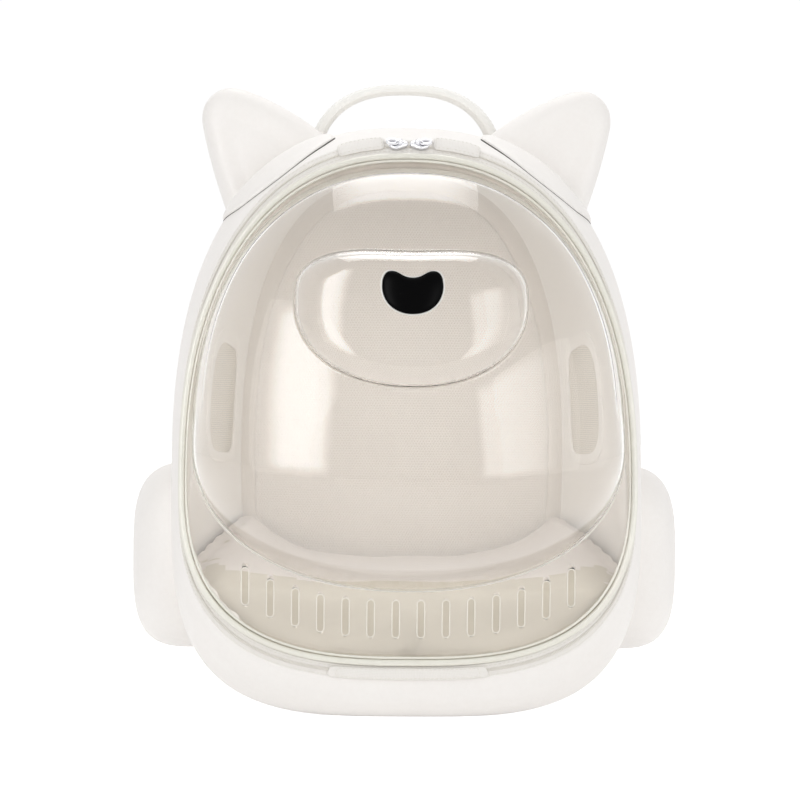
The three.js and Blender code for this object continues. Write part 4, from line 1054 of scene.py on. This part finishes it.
corners = np.concatenate([tip, bend(tip[-1], earSet["innerBend"], earSet["inner"]), [earSet["outer"]],
                          bend(earSet["outer"], earSet["outerBend"], tip[0])])
lengths = np.append(0, np.cumsum(np.linalg.norm(np.diff(corners, axis=0), axis=1)))
at = np.arange(160) / 160 * lengths[-1]
earOutline = np.stack([np.interp(at, lengths, corners[:, k]) for k in (0, 1)], -1)
for _ in range(10):
    earOutline = 0.5 * earOutline + 0.25 * (np.roll(earOutline, 1, 0) + np.roll(earOutline, -1, 0))
r = np.linspace(0.03, 1, 44)[:, None]
puff = np.sqrt(np.maximum(1 - r ** earSet["puff"], 0))
dish = earSet["dish"] * (1 - ease(earSet["rimFrom"], earSet["rimTo"], r))
depth = np.concatenate([dish - earSet["front"] * puff, (earSet["back"] * puff)[-2::-1]])
r = np.concatenate([r, r[-2::-1]])
x, z = mix(earSet["middleX"], earOutline[:, 0], r), mix(earSet["middleZ"], earOutline[:, 1], r)
y = earDepth(depth, z)
ear = xyz(x, y, np.maximum(z, bodyTop(x, y) - earSet["sink"]))
ends = (earSet["dish"] - earSet["front"], earSet["back"])
earPoles = np.array([(earSet["middleX"], earDepth(end, earSet["middleZ"]), earSet["middleZ"])
                     for end in ends])
# collar: a flat band with rounded sides under the ear; its front edge sweeps forward,
# so it looks straight from the front
degrees = np.linspace(collarSet["from"], collarSet["to"], collarSet["count"])
along = np.linspace(0, 1, collarSet["count"])
frontStep = collarSet["front"] + collarSet["sweep"] * (degrees - collarSet["middle"]) ** 2
b = np.linspace(0, pi, 49)
step = mix(frontStep[:, None], collarSet["back"], 0.5 - 0.5 * np.sign(np.cos(b)) * np.abs(np.cos(b)) ** 0.6)
ends = np.sqrt(np.maximum(1 - np.abs(2 * along - 1) ** 14, 0))[:, None]
lift = (collarSet["lift"] + collarSet["sink"]) * np.sin(b) ** 0.3 * ends - collarSet["sink"]
# the gap's dark tube is thickest at its upper end, where the painted shadow is deepest
thin = (0.24 + 0.75 * ease(0.4, 0.05, along) + 0.25 * ease(0.75, 1, along))[:, None]
for name, side in sides.items():
    mirror = [side, 1, 1]
    tubePiece(f"ear_form_{name}", ear * mirror, shellCream, node=f"ear_{name}", sharp=60,
              poles=tuple(earPoles * mirror))
    angle = np.radians(degrees if side < 0 else 180 - degrees)
    tubePiece(f"ear_collar_{name}", bodyAt(step, angle[:, None], lift), shellCream, sharp=60)
    back, _, off = bodyFrame(frontStep, angle)
    # painted shade: a dark tube along the collar's front edge stands for the shadow in the gap under it
    gap = sweep(bodyAt(frontStep, angle, 0.1, 0.3), back, off, oval(8, thin, 0.5 * thin))
    tubePiece(f"ear_gap_{name}", gap, gapShadow)

# haunches: squarish balls pressed into the flanks
haunchSet = {"x": 150, "y": 34, "z": 107, "reach": 47, "halfDepth": 70, "halfHeight": 67,
             "square": 3.4, "sink": 0.8}
t, s = np.linspace(0, pi, 70)[1:-1, None], turns(140)[None, :]
way = xyz(np.cos(t), np.sin(t) * np.cos(s), np.sin(t) * np.sin(s))
way = way * np.sum(np.abs(way) ** haunchSet["square"], -1, keepdims=True) ** (-1 / haunchSet["square"])
centre = np.array([haunchSet[k] for k in "xyz"], float)
haunch = centre + way * [haunchSet[k] for k in ("reach", "halfDepth", "halfHeight")]
haunch[..., 0] = np.maximum(haunch[..., 0], bodySide(haunch[..., 1], haunch[..., 2]) - haunchSet["sink"])
haunchPoles = np.stack([centre, centre])
haunchPoles[:, 0] = haunchSet["x"] + haunchSet["reach"], bodySide(*centre[1:]) - haunchSet["sink"]
for name, side in sides.items():
    mirror = [side, 1, 1]
    tubePiece(f"haunch_form_{name}", haunch * mirror, shellCream, node=f"haunch_{name}", sharp=60,
              poles=tuple(haunchPoles * mirror))
print("ears and haunches made")

# handle: an arch of padded cloth, thinner in the middle of its span
handleSet = {"y": 69, "halfSpan": 69, "baseZ": 384, "topZ": 454, "square": 2.5, "halfDepth": 13,
             "thin": 7, "thick": 10, "edge": 3, "sink": 0.8, "sewing": {"front": 15, "rear": 3},
             "sewnRows": slice(12, 108), "stitch": (3.4, 2.4, 0.45, 0.3)}
a = np.linspace(0, pi, 120)
rise = handleSet["topZ"] - handleSet["thin"] / 2 - handleSet["baseZ"]
x, z = squarish(a, handleSet["halfSpan"], rise, handleSet["square"])
path = xyz(x, handleSet["y"], handleSet["baseZ"] + z)
ahead = unit(np.gradient(path, axis=0))
outwards = xyz(ahead[:, 2], 0, -ahead[:, 0])
halfThick = mix(handleSet["thin"], handleSet["thick"], np.cos(a) ** 2)[:, None] / 2
profile = squarish(turns(36), handleSet["halfDepth"], halfThick, handleSet["edge"])
grid = sweep(path, toBack, outwards, profile)
grid[..., 2] = np.maximum(grid[..., 2], bodyTop(grid[..., 0], grid[..., 1]) - handleSet["sink"])
handle = tubePiece("handle_grip", grid, handleCloth, node="handle")
for name, column in handleSet["sewing"].items():
    rows = handleSet["sewnRows"]
    sew(f"handle_sewing_{name}", grid[rows, column], outwards[rows], handleSet["stitch"])

# shoulder straps: foam pads with bound edges and sewing, then flat webbing down to the panel's foot
strapSet = {"x": [44, 44, 47, 53, 59, 65], "out": [0, 1, 13, 23.5, 24, 15],
            "z": [350, 335, 299, 250, 203, 160], "halfWidth": 27, "halfThick": 5, "square": 4,
            "panelY": 119.0, "gap": 0.3, "sewing": 21, "groove": 0.16, "grooveWidth": 1.6,
            "binding": (1.612, 3.38), "bindingInset": 1.6, "sewingLift": 0.86, "stitch": (3.6, 2.6, 0.7, 0.6)}
webbingSet = {"x": [73, 76, 77], "out": [5, 0, 0], "z": [112, 84, 66], "halfWidth": 12.5, "halfThick": 1.0,
              "square": 6, "boxHalf": 9.5, "boxRows": slice(40, 48), "start": 0.6,
              "stitch": (2.8, 2.0, 0.6, 0.5)}


def route(columns, lift, side, count):
    # smooth curve through the listed places
    at = np.linspace(0, len(columns[0]) - 1, count)
    x, out, z = (curveThrough(c, at) for c in columns)
    return np.stack([side * x, strapSet["panelY"] + lift + out, z], -1)


def ribbonFrame(path):
    # directions square to a path: wide towards x, thick away from the panel
    ahead = unit(np.gradient(path, axis=0))
    wide = unit(toRight - ahead * ahead[:, :1])
    thick = np.cross(ahead, wide)
    return wide, thick * np.sign(thick[:, 1:2])


for name, side in sides.items():
    path = route([strapSet[k] for k in ("x", "out", "z")], strapSet["halfThick"] + strapSet["gap"], side, 90)
    wide, thick = ribbonFrame(path)
    across, up = squarish(turns(64), strapSet["halfWidth"] - 1, strapSet["halfThick"], strapSet["square"])
    fromSewing = (np.abs(across) - strapSet["sewing"]) / strapSet["grooveWidth"]
    up = up * (1 - strapSet["groove"] * np.exp(-fromSewing ** 2))
    strap = tubePiece(f"strap_pad_{name}", sweep(path, wide, thick, (across, up)), creamCloth,
                      node=f"strap_{name}")
    for border, sign in (("inner", -1), ("outer", 1)):
        line = path + wide * sign * (strapSet["halfWidth"] - strapSet["bindingInset"])
        tube = sweep(line, wide, thick, oval(14, *strapSet["binding"]))
        tubePiece(f"strap_binding_{border}_{name}", tube, handleCloth)
        line = path + wide * sign * strapSet["sewing"]
        line = line + thick * strapSet["halfThick"] * strapSet["sewingLift"]
        sew(f"strap_sewing_{border}_{name}", line, thick, strapSet["stitch"])
    start = path[-1] + unit(path[-1] - path[-8]) * webbingSet["start"]
    lift = webbingSet["halfThick"] + strapSet["gap"]
    first = (side * start[0], start[1] - strapSet["panelY"] - lift, start[2])
    path = route([[at, *webbingSet[k]] for at, k in zip(first, ("x", "out", "z"))], lift, side, 50)
    wide, thick = ribbonFrame(path)
    profile = squarish(turns(28), webbingSet["halfWidth"], webbingSet["halfThick"], webbingSet["square"])
    tubePiece(f"strap_webbing_{name}", sweep(path, wide, thick, profile), webbingCloth,
              node=f"webbing_{name}")
    # box of sewing at the foot
    rows = webbingSet["boxRows"]
    foot, aside = path[rows] + toBack * webbingSet["halfThick"], wide[rows] * webbingSet["boxHalf"]
    box = np.concatenate([foot + aside, (foot - aside)[::-1]])
    sew(f"webbing_sewing_{name}", box, toBack, webbingSet["stitch"], closed=True)
print("handle and straps made")

# stage, light and camera
stageSet = {"glow": 0.8, "mirroredGlow": 0.62, "bounce": 0.2, "ambient": 0.6, "mirrored": 1.15,
            "backdrop": 1.02}
# lamps and reflector cards by direction from the object;
# fade is the soft share at a card's left, right, bottom and top
lightSet = {
    "left": {"azimuth": -34, "height": 0.7, "distance": 1.35, "size": (0.76, 1.3), "lamp": -42, "power": 3.7,
             "card": 6.4, "fade": (0.38, 0.2, 0.26, 0.1)},
    "right": {"azimuth": 38.5, "height": 0.6, "distance": 1.5, "size": (1.1, 1.05), "lamp": 46, "power": 4.0,
              "card": 4.0, "fade": (0.08, 0.85, 0.2, 0.1)},
    "overhead": {"azimuth": 180, "height": 1.55, "distance": 0.4, "size": (0.84, 1.0), "lamp": 180,
                 "power": 6.2, "card": 4.0, "fade": (0.35, 0.35, 0.05, 0.4)},
    "haze": {"azimuth": 78, "height": 0.5, "distance": 1.6, "size": (1.4, 1.5),
             "card": 2.0, "fade": (0.3, 0.35, 0.15, 0.3)},
}
glowing = {"Emission Color": (1, 1, 1, 1), "Specular IOR Level": 0.0}


def stageMesh(name, points, faces, material):
    mesh = bpy.data.meshes.new(name)
    mesh.from_pydata(points, [], faces)
    mesh.materials.append(material)
    made = newObject(name, mesh)
    return made


def placeAs(piece, across, up, back, at):
    piece.matrix_world = Matrix(np.vstack([np.column_stack([across, up, back, at]), [0, 0, 0, 1]]).tolist())


floorWhite, tree, inputs = newMaterial("floorWhite", (0.9, 0.9, 0.9, 1), 0.9, glowing)
rays = addNode(tree, "LightPath", {})
glow = calc(tree, "MULTIPLY", rays["Is Diffuse Ray"], stageSet["bounce"])
for ray, strength in (("Is Glossy Ray", stageSet["mirroredGlow"]), ("Is Camera Ray", stageSet["glow"])):
    glow = calc(tree, "MULTIPLY_ADD", rays[ray], strength, glow)
put(tree, inputs["Emission Strength"], glow)
radius, t = np.array([0.02, 1.0, 3.0, 9.0])[:, None], turns(64)
disc = xyz(radius * np.cos(t), radius * np.sin(t), 0.0).reshape(-1, 3)
r, c = gridCells(3, 64)
quads = np.stack([r * 64 + c, (r + 1) * 64 + c, (r + 1) * 64 + (c + 1) % 64, r * 64 + (c + 1) % 64], 1)
stageMesh("floor_disc", disc.tolist(), quads.tolist() + [list(range(64))], floorWhite)


def cardFinish(name, strength, fade):
    # light that falls off to the world's own towards the four sides of a card, read from its own uv
    material, tree, inputs = newMaterial(name, (0, 0, 0, 1), 1.0, glowing)
    ways = split(tree, clothCoords(tree))
    level = 1.0
    for k, share in enumerate(fade):
        way = ways[k // 2] if k % 2 == 0 else calc(tree, "SUBTRACT", 1.0, ways[k // 2])
        near = {"Value": calc(tree, "DIVIDE", way, share)}
        soft = addNode(tree, "MapRange", near, interpolation_type="SMOOTHSTEP")["Result"]
        level = calc(tree, "MULTIPLY", soft, level)
    world = stageSet["mirrored"]
    put(tree, inputs["Emission Strength"], calc(tree, "MULTIPLY_ADD", level, strength - world, world))
    return material


def aimed(each, azimuth):
    # directions across, up and back of something that looks at the object from a direction, and its place
    turn = math.radians(azimuth)
    place = np.array([each["distance"] * math.sin(turn), -each["distance"] * math.cos(turn), each["height"]])
    above = each["height"] > 1.2
    target = place * [1, 1, 0] if above else np.array([0, 0, 0.25 + 0.6 * (each["height"] - 0.25)])
    ahead = unit(target - place)
    across = unit(np.cross(ahead, toBack if above else toTop))
    return across, np.cross(across, ahead), -ahead, place


for name, each in lightSet.items():
    if "lamp" in each:
        lamp = bpy.data.lights.new(f"softbox_{name}", "AREA")
        lamp.shape, lamp.size, lamp.size_y, lamp.energy = "RECTANGLE", *each["size"], each["power"]
        light = newObject(f"softbox_{name}", lamp)
        light.visible_glossy = False
        placeAs(light, *aimed(each, each["lamp"]))
    # only mirrors see the card
    across, up, _, place = aimed(each, each["azimuth"])
    across, up = across * each["size"][0] / 2, up * each["size"][1] / 2
    corners = [(place + a * across + b * up).tolist() for a, b in ((-1, -1), (1, -1), (1, 1), (-1, 1))]
    finish = cardFinish(f"card_{name}", each["card"], each["fade"])
    card = stageMesh(f"card_{name}", corners, [[0, 1, 2, 3]], finish)
    card.data.uv_layers.new(name="cloth").data.foreach_set("uv", [0, 0, 1, 0, 1, 1, 0, 1])
    card.visible_camera = card.visible_diffuse = card.visible_transmission = card.visible_shadow = False

world = bpy.data.worlds.new("studio")
bpy.context.scene.world = world
world.use_nodes = True
tree = world.node_tree
inputs, rays = tree.nodes["Background"].inputs, addNode(tree, "LightPath", {})
inputs["Color"].default_value = (1, 1, 1, 1)
gain = stageSet["mirrored"] - stageSet["ambient"]
mirrored = calc(tree, "MULTIPLY_ADD", rays["Is Glossy Ray"], gain, stageSet["ambient"])
seen = calc(tree, "MULTIPLY", rays["Is Camera Ray"], stageSet["backdrop"])
put(tree, inputs["Strength"], calc(tree, "MAXIMUM", seen, mirrored))

cameraSet = {"aim": (-0.0041, 0.010, 0.2204), "distance": 2.2, "azimuth": -1.5, "elevation": 0.4,
             "roll": 0.39, "lens": 136.5}
a, e, roll = (math.radians(cameraSet[k]) for k in ("azimuth", "elevation", "roll"))
backward = np.array([math.sin(a) * math.cos(e), -math.cos(a) * math.cos(e), math.sin(e)])
right = np.array([math.cos(a), math.sin(a), 0.0])
up = np.cross(backward, right)
rolled = (math.cos(roll) * right + math.sin(roll) * up, math.cos(roll) * up - math.sin(roll) * right)
lens = bpy.data.cameras.new("photo_camera")
lens.lens, lens.sensor_width, lens.clip_end = cameraSet["lens"], 36.0, 60.0
camera = newObject("photo_camera", lens)
placeAs(camera, *rolled, backward, np.array(cameraSet["aim"]) + backward * cameraSet["distance"])
bpy.context.scene.camera = camera
bpy.context.scene.view_settings.view_transform = "Standard"
print("stage, lights and camera set")
